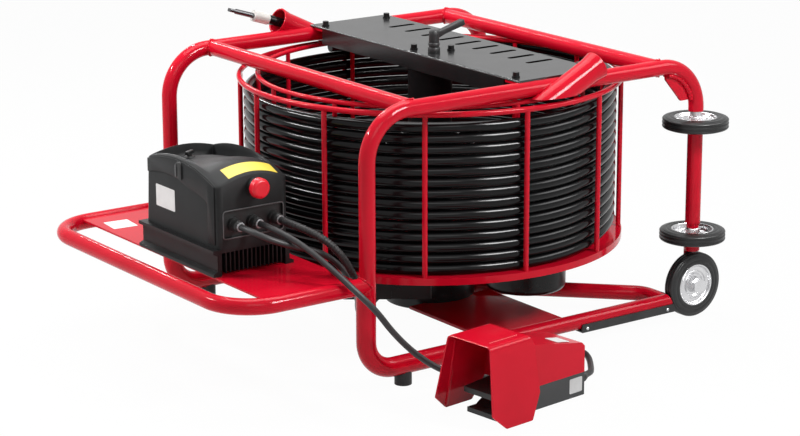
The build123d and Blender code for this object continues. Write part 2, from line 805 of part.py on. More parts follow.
# Top bar: a channel with open ends over the hoops and plain slots along one side
bar_half = hoop_y + bar_over
web_half = hoop_y - tab_weld - tab_len - bar_flange_gap
bar = block((-bar_left, bar_right), (-bar_half, bar_half), (bar_low, bar_high))
for low, high in ((-bar_left, -bar_left + bar_t), (bar_right - bar_t, bar_right)):
    bar += block((low, high), (-web_half, web_half), (bar_high - bar_flange, bar_high))
top_edges = bar.edges().filter_by(Axis.Y).group_by(Axis.Z)[-1]
bar = fillet(top_edges, bar_round)
for step in range(slot_count):
    y = slot_span * (step / (slot_count - 1) - 0.5)
    bar -= extrude(Pos(slot_x, y, bar_low) * SlotOverall(slot_len, slot_w), bar_t)
bolt_places = [(x, side * (hoop_y - end_bolt_in)) for x in end_bolt_x for side in (-1, 1)]
bolt_places += list(cap_bolts)
for x, y in bolt_places:
    bar -= Pos(x, y, 0) * drum(bolt_hole_r, bar_low - bar_t, bar_high + bar_t)
bar -= lever_hole
for side in (-1, 1):
    bar -= guide_outer(side, bar_notch_gap)
parts["top_bar"] = bar
bolt = extrude(Pos(0, 0, bar_high) * RegularPolygon(bolt_head_af / 2, 6, False), bolt_head_t)
bolt += drum(bolt_flange_r, bar_high, bar_high + bolt_flange_t)
bolt += drum(bolt_d / 2, bar_low - tab_t, bar_high)
parts["bar_bolts"] = Compound(children=[Pos(x, y, 0) * bolt for x, y in bolt_places])

# Clamping lever: hub, cranked arm and the screw that bears on the sleeve
lever_low = bar_high + side_play
lever_high = lever_low + lever_hub_h
lever = drum(lever_hub_r, lever_low, lever_high)
lever += drum(lever_screw_r, sleeve_top + lever_tip_gap, lever_low)
arm_path = Line((0, 0, lever_high - lever_hub_r), (lever_arm, 0, lever_high + lever_lift - lever_hub_r))
lever += tube(arm_path, lever_arm_d)
lever += Pos(arm_path @ 1) * Sphere(lever_knob_r)
parts["clamp_lever"] = Pos(lever_x, lever_y, 0) * lever


# Shaft guides: slanted tubes with a flared mouth, let into the hoops
def guide(side):
    mouth, way = guide_axis(side)
    inner = guide_d / 2 - guide_wall
    flare = Cone(inner, inner + guide_flare, guide_lip, align=(Align.CENTER, Align.CENTER, Align.MAX))
    return guide_outer(side) - guide_body(side, inner) - Plane(origin=mouth, z_dir=way) * flare


parts["shaft_guides"] = Compound(children=[guide(-1), guide(1)])


# Cords: the arcs are as large as the runs beside them allow
def cord_path(points):
    spots = [Vector(*point) for point in points]
    radii = []
    for before, here, after in zip(spots, spots[1:], spots[2:]):
        turn = (here - before).get_angle(after - here)
        shorter = min((here - before).length, (after - here).length)
        radii.append(bend_fill * shorter / math.tan(math.radians(turn / 2)))
    return FilletPolyline(*spots, radius=radii), radii


def cord(name, points, diameter):
    path, radii = cord_path(points)
    made = tube(path, diameter)
    ideal = math.pi * diameter ** 2 / 4 * path.length
    print(name, "length", round(path.length), "least radius", round(min(radii)),
          "volume ratio", round(made.volume / ideal, 4))
    return made


# Lead-out: the shaft's outer end, off the top of the coil and out through the rear guide
guide_y = hoop_y + guide_out
lead_out_route = [(x, guide_y + y, hoop_top + z) for x, y, z in lead_out_points]
end_way = Vector(-math.cos(math.radians(end_tilt)), 0, math.sin(math.radians(end_tilt)))
lead_end = Vector(*lead_out_route[-1]) + end_way * lead_out_tail
parts["lead_out"] = cord("lead_out", lead_out_route + [tuple(lead_end)], shaft_d)
collar_end = lead_end + end_way * collar_len
parts["shaft_collar"] = rod(lead_end, collar_end, collar_d / 2, journal_d / 2 + run_play)
core_end = collar_end + end_way * core_out
core_step = collar_end + end_way * side_play
core = rod(core_step, core_end, core_d / 2)
core += rod(collar_end - end_way * core_in, core_step, journal_d / 2)
flat_plane = Plane(origin=core_end - end_way * core_flat_len, x_dir=(0, 1, 0), z_dir=end_way)
flat_ring = Rectangle(2 * core_d, 2 * core_d) - Rectangle(2 * core_d, core_flat)
parts["core_tip"] = core - extrude(flat_plane * flat_ring, core_flat_len)

# Heat sink: an extruded profile with upright fins under a top plate
profile = Pos(0, sink_h - sink_top / 2) * Rectangle(sink_w, sink_top)
fin_h = sink_h - sink_top - sink_foot
fin_span = sink_w - 4 * sink_side
fin_pitch = fin_span / (sink_fins + 1)
for step in range(sink_fins):
    x = (step + 1) * fin_pitch - fin_span / 2
    profile += Pos(x, sink_foot + fin_h / 2) * Rectangle(sink_fin, fin_h)
for side in (-1, 1):
    edge = side * sink_w / 2
    profile += make_face(Polyline(
        (edge, sink_h - sink_top), (edge - side * sink_side, sink_h - sink_top - sink_side / 2),
        (edge - side * sink_side, sink_foot + sink_side / 2), (edge, sink_foot), (edge, 0),
        (edge - side * 2 * sink_side, 0), (edge - side * 2 * sink_side, sink_h - sink_top), close=True))
sink_plane = Plane(origin=(box_mid, sink_back, plate_top), x_dir=(1, 0, 0), z_dir=(0, -1, 0))
parts["heat_sink"] = extrude(sink_plane * profile, sink_back - box_front)


# Box housing: a dome, arched along its length and across, with a sunk lid and a connector recess
housing_ridge = ThreePointArc(
    (0, box_front, sink_high + housing_front_h), (0, crest_y, sink_high + housing_h),
    (0, housing_back_top, sink_high + housing_back_h))


def housing_form(inset, front_inset):
    """An arched section turned about the centre of the ridge, between the four walls."""
    half = housing_w / 2 - inset
    middle = housing_ridge.arc_center
    edge = middle.Z + housing_ridge.radius - inset
    section = make_face(Wire([
        Line((-half, middle.Y, middle.Z), (-half, middle.Y, edge)),
        ThreePointArc((-half, middle.Y, edge), (0, middle.Y, edge + housing_arch), (half, middle.Y, edge)),
        Line((half, middle.Y, edge), (half, middle.Y, middle.Z)),
        Line((half, middle.Y, middle.Z), (-half, middle.Y, middle.Z))]))
    dome = revolve(section, Axis((0, middle.Y, middle.Z), (1, 0, 0)))
    front = box_front + front_inset
    tall = sink_high + 2 * housing_h
    back = housing_back - inset
    lean = (housing_back - housing_back_top) * 2 * housing_h / housing_back_h
    walls = make_face(Polyline((-half, front, sink_high), (-half, front, tall), (-half, back - lean, tall),
                               (-half, back, sink_high), close=True))
    return dome & extrude(walls, 2 * half, dir=(1, 0, 0))


outer = housing_form(0, 0)
outer = fillet(outer.edges().filter_by(Axis.Z), housing_round)
lid_cut = block((-lid_w / 2, lid_w / 2), lid_y, (sink_high, sink_high + 2 * housing_h))
lid_cut -= Pos(0, 0, -lid_depth) * housing_form(0, 0)
cavity = Pos(0, 0, -lid_depth) * housing_form(housing_wall, housing_front_wall)
recess_low = sink_high + panel_low
recess = block((-panel_w / 2, panel_w / 2), (box_front, box_front + panel_depth),
               (recess_low, recess_low + panel_h))
knob_base = sink_high + housing_h + housing_arch - lid_depth - knob_sink
knob = Pos(0, knob_y, 0) * drum(knob_r, knob_base, knob_base + knob_h + knob_sink)
above_sink = drum(2 * housing_h, sink_high, 2 * sink_high)
shell_form = outer - lid_cut - (cavity & above_sink) - recess + knob
parts["box_housing"] = Pos(box_mid, 0, 0) * shell_form
panel_front = box_front + panel_depth - panel_t
parts["connector_panel"] = block((box_mid - panel_w / 2, box_mid + panel_w / 2),
                                 (panel_front, box_front + panel_depth), (recess_low, recess_low + panel_h))


# Cable glands on the panel and on the foot switch, and the collar of the stop button
def gland(length):
    neck = gland_r - gland_step
    outline = Polyline((0, 0), (gland_r, 0), (gland_r, gland_nut), (neck, gland_nut),
                       (neck, length - gland_taper), (gland_tip_r, length), (0, length), close=True)
    return revolve(Plane.XZ * make_face(outline), Axis.Z)


pedal = Pos(*pedal_place) * Rot(0, 0, pedal_yaw)
tray_end = hood_back + cover_len
fittings = []
for x in gland_x:
    seat = Plane(origin=(box_mid + x, panel_front, sink_high + gland_rise), z_dir=(0, -1, 0))
    fittings.append(seat * gland(gland_len + panel_depth - panel_t))
rear_seat = Plane(origin=(tray_end, pedal_gland_y, pedal_gland_z), z_dir=(1, 0, 0))
fittings.append(pedal * (rear_seat * gland(pedal_gland_len)))
stop_z = sink_high + stop_rise


def stop_disc(near, far, radius, bore=0.0):
    """A disc on the stop button's axis between two reaches from the box front."""
    return rod((box_mid, box_front - near, stop_z), (box_mid, box_front - far, stop_z), radius, bore)


fittings.append(stop_disc(0, stop_collar_len, stop_collar_r, stop_stem_r + run_play))
parts["box_fittings"] = Compound(children=fittings)
head_start = stop_collar_len + stop_gap
button = stop_disc(head_start, head_start + stop_head, stop_r)
button = fillet(button.edges().sort_by(Axis.Y)[0], stop_head / 2)
parts["estop_button"] = button + stop_disc(stop_stem_in, head_start, stop_stem_r)

# Cables from the control box
parts["supply_cable"] = cord("supply_cable", supply_route, supply_d)
parts["motor_cable"] = cord("motor_cable", motor_route, motor_cable_d)
parts["pedal_cord"] = cord("pedal_cord", pedal_cord_route, pedal_cord_d)

# Foot switch hood: a sheet folded round into flared cheeks, with a back wall round the doorway
back_high = hood_top - hood_ramp
side_line = FilletPolyline(*[(x, -2 * hood_half, z) for x, z in [
    (hood_front, hood_top), (hood_front - cheek_toe, cheek_toe_h), (hood_front + cheek_start, cheek_foot),
    (hood_back - cheek_heel, cheek_foot), (hood_back, cheek_heel_h), (hood_back, back_high),
    (hood_rear, hood_top)]], radius=hood_corner, close=True)
side_form = extrude(make_face(side_line), 4 * hood_half, dir=(0, 1, 0))


def hood_form(inset):
    """Solid under the folded sheet, drawn in by an inset."""
    half = hood_half - inset
    foot = half + hood_flare
    start = hood_front - cheek_toe
    high = hood_top - inset
    fold = FilletPolyline((start, -foot, 0), (start, -half, high), (start, half, high), (start, foot, 0),
                          radius=hood_fold - inset)
    section = make_face(Wire(list(fold.edges()) + [Line((start, foot, 0), (start, -foot, 0))]))
    return extrude(section, hood_back - start, dir=(1, 0, 0))


inner_half = cover_half - sheet
hood_space = hood_form(sheet)
back_wall = hood_space & block((hood_back - sheet, hood_back), (-2 * hood_half, 2 * hood_half),
                               (cheek_heel_h, back_high))
back_wall -= block((hood_back - sheet, hood_back), (-inner_half, inner_half), (0, hood_back_low))
ramp = hood_form(0) & upright_plate(
    [(hood_rear, hood_top - sheet), (hood_rear, hood_top), (hood_back, back_high),
     (hood_back - sheet, back_high)], -2 * hood_half, 2 * hood_half)
parts["pedal_hood"] = pedal * ((hood_form(0) - hood_space) & side_form) + pedal * (back_wall + ramp)

# Foot switch cover, a shell open below and at the treadle
tail_x = tray_end - cover_tail
shell = upright_plate([(hood_back, base_h), (hood_back, cover_nose_h), (tail_x, cover_tail_h),
                       (tray_end, cover_tail_h - cover_tail), (tray_end, base_h)], -cover_half, cover_half)
inner_end = tray_end - sheet
hollow = upright_plate([(hood_back + sheet, base_h), (hood_back + sheet, cover_nose_h - sheet),
                        (tail_x - sheet, cover_tail_h - sheet),
                        (inner_end, cover_tail_h - cover_tail - sheet), (inner_end, base_h)],
                       -inner_half, inner_half)
doorway = block((hood_back, hood_back + sheet), (-inner_half, inner_half), (base_h, hood_back_low))
parts["pedal_cover"] = pedal * (shell - hollow - doorway)

# Foot switch base: a tray with two hinge ears, and the toe plate in front of it
tray = block((hood_back, tray_end), (-cover_half, cover_half), (0, base_h))
tray_half = cover_half - base_wall
tray -= block((hood_back, tray_end - base_wall), (-tray_half, tray_half), (base_floor, base_h))
hinge_x = hood_back + hinge_in
ear_in = treadle_neck + ear_play
ear_half = ear_w / 2
ear = upright_plate([(hinge_x - ear_half, base_floor), (hinge_x - ear_half, hinge_z),
                     (hinge_x, hinge_z + ear_half), (hinge_x + ear_half, hinge_z),
                     (hinge_x + ear_half, base_floor)], ear_in, ear_in + ear_t)
tray += ear
tray += mirror(ear, Plane.XZ)
pin = rod((hinge_x, -ear_in - ear_t, hinge_z), (hinge_x, ear_in + ear_t, hinge_z), hinge_pin_r)
parts["pedal_base"] = pedal * (tray - pin)
parts["pedal_pin"] = pedal * pin
toe_high = toe_t + toe_rise
toe_line = [
    Line((0, 0), (hood_back, 0)), Line((hood_back, 0), (hood_back, toe_high)),
    ThreePointArc((hood_back, toe_high), (toe_bend, toe_t + toe_bend_rise), (toe_flat, toe_t)),
    Line((toe_flat, toe_t), (0, toe_t)), Line((0, toe_t), (0, 0))]
toe_plane = Plane(origin=(0, toe_half, 0), x_dir=(1, 0, 0), z_dir=(0, -1, 0))
parts["toe_plate"] = pedal * extrude(toe_plane * make_face(Wire(toe_line)), 2 * toe_half)

# Treadle: a plate on a barrel that turns on the hinge pin
tread_end = hinge_z - treadle_dip
pad = upright_plate([(treadle_front, tread_end - treadle_t - treadle_lip), (treadle_front, tread_end),
                     (hinge_x, hinge_z), (hinge_x, hinge_z - treadle_t),
                     (treadle_front + treadle_lip_len, tread_end - treadle_t)], -treadle_half, treadle_half)
for side in (-1, 1):
    ends = sorted((side * treadle_neck, side * 2 * treadle_half))
    pad -= block((hood_back - 2 * sheet, 2 * hinge_x), ends, (0, 2 * hinge_z))
barrel = rod((hinge_x, -treadle_neck, hinge_z), (hinge_x, treadle_neck, hinge_z), barrel_r)
bore = rod((hinge_x, -ear_in, hinge_z), (hinge_x, ear_in, hinge_z), hinge_pin_r + run_play)
parts["treadle"] = pedal * (pad + barrel - bore)

# The origin goes to the middle of the machine's footprint, without its cables
boxes = [solid.bounding_box() for name, solid in parts.items() if name not in cords]
axis_x = -(min(box.min.X for box in boxes) + max(box.max.X for box in boxes)) / 2
axis_y = -(min(box.min.Y for box in boxes) + max(box.max.Y for box in boxes)) / 2
shift = Pos(axis_x, axis_y, 0)
print("basket axis at", round(axis_x, 4), round(axis_y, 4))

# Least gap between one turn of the coil and the next, measured on points of its centre line
spots = [shaft_path @ (step / coil_samples) for step in range(coil_samples + 1)]
turn_spots = int(coil_samples * 2 * math.pi * coil_r / shaft_path.length)
least = coil_r
for here in range(0, len(spots) - turn_spots, sample_step):
    above = here + turn_spots
    for there in spots[above - sample_window:above + sample_window]:
        least = min(least, (spots[here] - there).length)
turned = (stations[-1][0] - coil_angle) / 360
print("coil turns", round(turned, 2), "least gap to itself", round(least - shaft_d, 3))

os.makedirs("parts", exist_ok=True)
for name, solid in parts.items():
    placed = [shift * piece for piece in solid.solids()]
    export_step(Compound(placed), "parts/" + name + ".step")
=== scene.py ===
import json
import math

import bpy
from mathutils import Matrix, Vector


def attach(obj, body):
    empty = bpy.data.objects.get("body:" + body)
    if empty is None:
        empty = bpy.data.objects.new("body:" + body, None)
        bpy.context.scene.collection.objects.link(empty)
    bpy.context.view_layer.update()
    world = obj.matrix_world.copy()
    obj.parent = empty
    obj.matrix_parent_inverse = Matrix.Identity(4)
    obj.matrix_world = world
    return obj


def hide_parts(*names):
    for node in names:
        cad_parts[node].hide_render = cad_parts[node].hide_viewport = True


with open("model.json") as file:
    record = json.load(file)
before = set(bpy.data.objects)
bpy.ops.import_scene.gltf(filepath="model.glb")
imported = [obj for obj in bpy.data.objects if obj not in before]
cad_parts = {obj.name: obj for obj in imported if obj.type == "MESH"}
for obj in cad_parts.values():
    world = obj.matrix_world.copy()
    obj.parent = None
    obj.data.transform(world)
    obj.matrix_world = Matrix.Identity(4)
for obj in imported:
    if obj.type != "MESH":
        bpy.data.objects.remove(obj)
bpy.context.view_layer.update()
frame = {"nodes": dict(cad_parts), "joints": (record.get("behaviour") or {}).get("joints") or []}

# Red tube frame: two bent hoops with the runners in one piece with them, cross tubes, platform loop,
# braces and small plates, all welded mild steel tube and sheet under one gloss red powder coat. Rippled
# weld beads go round the ends of the cross tubes and the platform loop and along the corner gusset.
basket_axis = next(joint["pos_m"] for joint in frame["joints"] if joint["name"] == "basket_spin")


def at(x, y, z):
    """A point given in millimetres from the basket's axis and the floor."""
    return Vector((basket_axis[0] + x / 1000, basket_axis[1] + y / 1000, z / 1000))


def finish(name, dark, light, drift, rough, grain, relief, metal=0.0, gloss=0.5):
    """A surface whose colour and roughness drift a little and whose fine grain stands up as relief."""
    made = bpy.data.materials.new(name)
    made.use_nodes = True
    nodes, links = made.node_tree.nodes, made.node_tree.links
    shader = nodes["Principled BSDF"]
    shader.inputs["Metallic"].default_value = metal
    shader.inputs["Specular IOR Level"].default_value = gloss
    place = nodes.new("ShaderNodeTexCoord")
    clouds = nodes.new("ShaderNodeTexNoise")
    clouds.inputs["Scale"].default_value = drift
    clouds.inputs["Detail"].default_value = 4.0
    shade = nodes.new("ShaderNodeValToRGB")
    shade.color_ramp.elements[0].position = 0.3
    shade.color_ramp.elements[1].position = 0.7
    shade.color_ramp.elements[0].color = (*dark, 1.0)
    shade.color_ramp.elements[1].color = (*light, 1.0)
    polish = nodes.new("ShaderNodeMapRange")
    polish.inputs["To Min"].default_value = rough[0]
    polish.inputs["To Max"].default_value = rough[1]
    peel = nodes.new("ShaderNodeTexNoise")
    peel.inputs["Scale"].default_value = grain
    peel.inputs["Detail"].default_value = 2.0
    bump = nodes.new("ShaderNodeBump")
    bump.inputs["Strength"].default_value = relief
    bump.inputs["Distance"].default_value = 0.0005
    links.new(place.outputs["Object"], clouds.inputs["Vector"])
    links.new(place.outputs["Object"], peel.inputs["Vector"])
    links.new(clouds.outputs["Fac"], shade.inputs["Fac"])
    links.new(shade.outputs["Color"], shader.inputs["Base Color"])
    links.new(clouds.outputs["Fac"], polish.inputs["Value"])
    links.new(polish.outputs["Result"], shader.inputs["Roughness"])
    links.new(peel.outputs["Fac"], bump.inputs["Height"])
    links.new(bump.outputs["Normal"], shader.inputs["Normal"])
    return made


def dress(material, *names):
    """Puts a finish on solids that keep their shape."""
    for name in names:
        slots = frame["nodes"][name].data.materials
        slots.clear()
        slots.append(material)


def settle(piece, name, material, body, smooth=35.0):
    """Names a finished piece, sets its place into its mesh and gives it its finish and its body."""
    piece.name = name
    piece.data.name = name
    bpy.ops.object.select_all(action="DESELECT")
    piece.select_set(True)
    bpy.context.view_layer.objects.active = piece
    for step in list(piece.modifiers):
        bpy.ops.object.modifier_apply(modifier=step.name)
    bpy.ops.object.transform_apply(location=True, rotation=True, scale=True)
    bpy.ops.object.shade_smooth_by_angle(angle=math.radians(smooth))
    piece.data.materials.clear()
    piece.data.materials.append(material)
    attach(piece, body)
    return piece


red_coat = finish("red_powder_coat", dark=(0.55, 0.004, 0.018), light=(0.62, 0.005, 0.022), drift=9.0,
                  rough=(0.09, 0.14), grain=420.0, relief=0.05, gloss=0.15)
dress(red_coat, "front_hoop", "rear_hoop", "cross_tubes", "bend_guards", "corner_gusset", "platform_loop",
      "platform_plate", "spindle_sleeves", "braces", "base_plates")

ends = ((-1, "front"), (1, "rear"))
tube_r, bead_d, bead_ripples, ripple_swell = 16.85, 5.2, 34, 0.4
hoop_x, hoop_y, hoop_z = 436.0, 381.7, 573.0
cross_x, loop_z = 325.5, 224.6


def ring(radius, thickness, steps, sides):
    """A plain round ring about Z, its sizes in millimetres."""
    bpy.ops.object.select_all(action="DESELECT")
    bpy.ops.mesh.primitive_torus_add(major_segments=steps, minor_segments=sides, major_radius=radius / 1000,
                                     minor_radius=thickness / 2000)
    return bpy.context.object


def rippled_ring(radius, thickness, ripples):
    """A ring that swells and narrows like a row of weld ripples."""
    bead = ring(radius, thickness, steps=4 * ripples, sides=8)
    for spot in bead.data.vertices:
        angle = math.atan2(spot.co.y, spot.co.x)
        middle = Vector((math.cos(angle), math.sin(angle), 0.0)) * (radius / 1000)
        swell = 1.0 + ripple_swell * abs(math.sin(ripples * angle / 2))
        spot.co = middle + (spot.co - middle) * swell
    return bead


def weld(name, place, turn):
    """A bead round the end of one frame tube where it saddles onto another; local Z runs along the tube."""
    bead = rippled_ring(tube_r, bead_d, bead_ripples)
    for spot in bead.data.vertices:
        angle = math.atan2(spot.co.y, spot.co.x)
        spot.co.z -= tube_r / 1000 * (1.0 - abs(math.cos(angle)))
    bead.matrix_world = Matrix.Translation(place) @ turn
    settle(bead, name, red_coat, "frame", smooth=60.0)


outward = Matrix.Rotation(-math.pi / 2, 4, "Y")
for side, end in ends:
    inward = Matrix.Rotation(side * math.pi / 2, 4, "X")
    for x, hand in ((-cross_x, "left"), (cross_x, "right")):
        weld(f"{end}_{hand}_cross_weld", at(x, side * (hoop_y - tube_r), hoop_z), inward)
    weld(f"{end}_platform_weld", at(-hoop_x - tube_r, side * hoop_y, loop_z), outward)

bend_x, bend_z, bend_inside, gusset_half = 336.0, 473.0, 83.2, 5.0
fillet_d, fillet_ripples, fillet_from, fillet_to = 9.0, 60, 14.0, 83.0
for y, face in ((-hoop_y - gusset_half, "outer"), (-hoop_y + gusset_half, "inner")):
    bead = rippled_ring(bend_inside, fillet_d, fillet_ripples)
    bpy.ops.object.mode_set(mode="EDIT")
    bpy.ops.mesh.select_all(action="DESELECT")
    bpy.ops.object.mode_set(mode="OBJECT")
    for spot in bead.data.vertices:
        spot.select = not fillet_from < math.degrees(math.atan2(spot.co.y, spot.co.x)) < fillet_to
    bpy.ops.object.mode_set(mode="EDIT")
    bpy.ops.mesh.delete(type="VERT")
    bpy.ops.mesh.select_all(action="SELECT")
    bpy.ops.mesh.fill_holes(sides=0)
    bpy.ops.object.mode_set(mode="OBJECT")
    bead.matrix_world = Matrix.Translation(at(bend_x, y, bend_z)) @ Matrix.Rotation(math.pi / 2, 4, "X")
    settle(bead, f"{face}_gusset_weld", red_coat, "frame", smooth=60.0)

# Wheel brackets: flat plates of the same coated steel behind the floor wheels, welded to runner and
# brace, each with a short head plate over the wheel that carries the upright above it.
cheek_outline = [(384.0, 26.0), (384.0, 72.0), (431.0, 128.0), (431.0, 157.0), (450.0, 157.0), (463.0, 80.0),
                 (463.0, 58.0), (444.0, 26.0)]
head_section = [(0, 0), (16.2, 0), (tube_r, 0.6), (tube_r, 6), (0, 6)]
cheek_y, cheek_thick, head_z = 360.35, 6.0, 151.0


def first_corner(place):
    """A piece of one point, left in edit mode, from which an outline is drawn on."""
    bpy.ops.object.select_all(action="DESELECT")
    bpy.ops.mesh.primitive_plane_add(size=0.01, location=place)
    piece = bpy.context.object
    bpy.ops.object.transform_apply(location=True, rotation=True, scale=True)
    bpy.ops.object.mode_set(mode="EDIT")
    bpy.ops.mesh.merge(type="CENTER")
    return piece


def round_edges(piece, width, limit):
    """Rounds off, by a width in millimetres, the edges sharper than a limit in degrees."""
    rounding = piece.modifiers.new("rounding", "BEVEL")
    rounding.width = width / 1000
    rounding.segments = 2
    rounding.limit_method = "ANGLE"
    rounding.angle_limit = math.radians(limit)


def plate(name, corners, out, material):
    """A flat plate drawn from corner to corner and then drawn out to its thickness."""
    piece = first_corner(corners[0])
    for here, there in zip(corners, corners[1:]):
        bpy.ops.mesh.extrude_vertices_move(TRANSFORM_OT_translate={"value": there - here})
    bpy.ops.mesh.select_all(action="SELECT")
    bpy.ops.mesh.edge_face_add()
    bpy.ops.mesh.extrude_region_move(TRANSFORM_OT_translate={"value": out})
    bpy.ops.mesh.select_all(action="SELECT")
    bpy.ops.mesh.normals_make_consistent(inside=False)
    bpy.ops.object.mode_set(mode="OBJECT")
    round_edges(piece, width=0.9, limit=50.0)
    return settle(piece, name, material, "frame", smooth=30.0)


def turned(section, steps):
    """A closed section, drawn corner by corner as radius and height in millimetres, spun about Z."""
    corners = [Vector((radius / 1000, 0.0, height / 1000)) for radius, height in section]
    piece = first_corner(corners[0])
    for here, there in zip(corners, corners[1:] + corners[:1]):
        bpy.ops.mesh.extrude_vertices_move(TRANSFORM_OT_translate={"value": there - here})
    bpy.ops.mesh.select_all(action="SELECT")
    bpy.ops.mesh.remove_doubles(threshold=0.000001)
    bpy.ops.mesh.select_all(action="SELECT")
    bpy.ops.mesh.spin(steps=steps, angle=-2 * math.pi, center=(0.0, 0.0, 0.0), axis=(0.0, 0.0, 1.0))
    bpy.ops.mesh.select_all(action="SELECT")
    bpy.ops.mesh.remove_doubles(threshold=0.00001)
    bpy.ops.mesh.normals_make_consistent(inside=False)
    bpy.ops.object.mode_set(mode="OBJECT")
    return piece


for side, end in ends:
    cheek = plate(f"{end}_bracket_cheek", [at(x, side * cheek_y, z) for x, z in cheek_outline],
                  Vector((0.0, side * cheek_thick / 1000, 0.0)), red_coat)
    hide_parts("wheel_brackets")
    head = turned(head_section, steps=48)
    head.matrix_world = Matrix.Translation(at(hoop_x, side * hoop_y, head_z))
    settle(head, f"{end}_bracket_head", red_coat, "frame")

# Hub on the base: a black painted can that holds the foot of the steel centre post, with the bronze
# bushes, thrust ring, slip ring and brush block that let the basket turn and feed its motor.
black_paint = finish("satin_black_paint", dark=(0.005, 0.005, 0.0055), light=(0.008, 0.008, 0.0085),
                     drift=14.0, rough=(0.24, 0.32), grain=700.0, relief=0.08, gloss=0.25)
turned_steel = finish("turned_steel", dark=(0.42, 0.42, 0.43), light=(0.55, 0.55, 0.56), drift=30.0,
                      rough=(0.22, 0.36), grain=900.0, relief=0.08, metal=1.0)
bronze = finish("bearing_bronze", dark=(0.42, 0.27, 0.11), light=(0.55, 0.37, 0.17), drift=40.0,
                rough=(0.3, 0.45), grain=900.0, relief=0.06, metal=1.0)
dress(black_paint, "hub_housing", "hub_sleeve")
dress(turned_steel, "centre_post", "post_cap", "thrust_ring")
dress(bronze, "hub_bushes", "slip_ring")

# Feet and wear strips: moulded rubber pads under the left bends and dark channels riveted under the
# runners, which take the scuffs when the machine is pulled over a step.
rubber = finish("moulded_rubber", dark=(0.012, 0.012, 0.012), light=(0.022, 0.022, 0.022), drift=25.0,
                rough=(0.5, 0.66), grain=1200.0, relief=0.25, gloss=0.3)
strip_steel = finish("dark_wear_strip", dark=(0.014, 0.014, 0.015), light=(0.03, 0.03, 0.03), drift=30.0,
                     rough=(0.35, 0.5), grain=800.0, relief=0.15, gloss=0.35)
rivet_steel = finish("plain_rivet_steel", dark=(0.4, 0.4, 0.41), light=(0.55, 0.55, 0.56), drift=80.0,
                     rough=(0.25, 0.4), grain=900.0, relief=0.08, metal=1.0)
dress(rubber, "rubber_feet", "brush_block")
dress(strip_steel, "skids")


def copies(piece, places):
    """The piece itself at the first place and a copy with its own mesh at each other place."""
    made = [piece]
    for _ in places[1:]:
        twin = piece.copy()
        twin.data = piece.data.copy()
        bpy.context.scene.collection.objects.link(twin)
        made.append(twin)
    for twin, place in zip(made, places):
        twin.matrix_world = place
    return made


rivet_section = [(0, 2.4), (1.6, 2.2), (3.0, 1.5), (3.8, 0.4), (3.9, 0), (0, 0)]
rivet_x, rivet_z, skid_half = (124.0, 352.0), 33.0, 19.9
rivet_seats = []
for side, _ in ends:
    for x in rivet_x:
        rivet_seats.append(Matrix.Translation(at(x, side * (hoop_y + skid_half), rivet_z))
                           @ Matrix.Rotation(-side * math.pi / 2, 4, "X"))
for count, rivet in enumerate(copies(turned(rivet_section, steps=20), rivet_seats)):
    settle(rivet, f"skid_rivet_{count}", rivet_steel, "frame")

# Wheels: solid rubber tyres with two grooves, on pressed rims of bright zinc sheet. Two run on the
# floor and two turn about the front upright, to roll the machine when it is laid over.
tyre_rubber = finish("tyre_rubber", dark=(0.013, 0.0135, 0.0138), light=(0.021, 0.0216, 0.022), drift=35.0,
                     rough=(0.3, 0.4), grain=1500.0, relief=0.15, gloss=0.35)
zinc = finish("bright_zinc", dark=(0.6, 0.6, 0.61), light=(0.72, 0.72, 0.73), drift=40.0,
              rough=(0.22, 0.32), grain=500.0, relief=0.04, metal=1.0)
tyre_side = [(45, 11), (46.5, 12.6), (49, 13.7), (52, 14), (54.5, 13.8), (55.6, 13.2), (56.6, 13.2),
             (57.7, 13.7), (61, 13.6), (64, 13.1), (66, 12.3), (66.8, 11.6), (67.8, 11.7), (69.6, 11.2),
             (71.4, 9.9), (72.3, 8.4), (72.5, 7.2), (72.2, 6.4), (70.9, 5.9), (70.6, 4.2), (70.9, 2.6),
             (72.2, 2.1), (72.5, 1.2)]
tyre_section = tyre_side + [(radius, -height) for radius, height in reversed(tyre_side)]
rim_face = [(46.6, 11.2), (46.6, 12.2), (46, 12.9), (45, 13.1), (43.9, 12.7), (43.1, 11.6), (42.3, 9.4),
            (41.2, 6.6), (39.6, 5.2), (36.8, 4.6), (33.6, 4.6), (31.6, 5.2), (30, 6.6), (28.4, 7),
            (26.8, 6.4), (25.2, 4.6), (23, 2.8), (20.4, 2.2), (18.4, 2.8), (17.2, 4.4), (16.6, 6.8),
            (16.4, 12.6), (15.9, 14.2), (14.8, 15.05), (10.05, 15.05)]
rim_back = [(10.05, -15.05), (14.8, -15.05), (15.9, -14.2), (16.4, -12.6), (16.6, -4), (17.6, -1.6),
            (20, -0.6), (23.6, 0), (26.4, 3.2), (28.4, 4), (30.4, 3.4), (32.4, 2), (36.4, 1.4), (39.2, 1),
            (40.6, -0.6), (42, -6), (42.8, -11), (43.9, -12.7), (45, -13.1), (46, -12.9), (46.6, -12.2),
            (46.6, -11.2), (45, -10.9), (45, 10.9)]
wheel_x, wheel_r, high_wheel_z, mid_wheel_z = 440.0, 72.5, 440.0, 188.0
wheel_seats = {
    "front": Matrix.Translation(at(wheel_x, -hoop_y, wheel_r)) @ Matrix.Rotation(math.pi / 2, 4, "X"),
    "rear": Matrix.Translation(at(wheel_x, hoop_y, wheel_r)) @ Matrix.Rotation(-math.pi / 2, 4, "X"),
    "high": Matrix.Translation(at(hoop_x, -hoop_y, high_wheel_z)),
    "mid": Matrix.Translation(at(hoop_x, -hoop_y, mid_wheel_z)) @ Matrix.Rotation(math.pi, 4, "X")}
tyres = copies(turned(tyre_section, steps=96), list(wheel_seats.values()))
rims = copies(turned(rim_face + rim_back, steps=96), list(wheel_seats.values()))
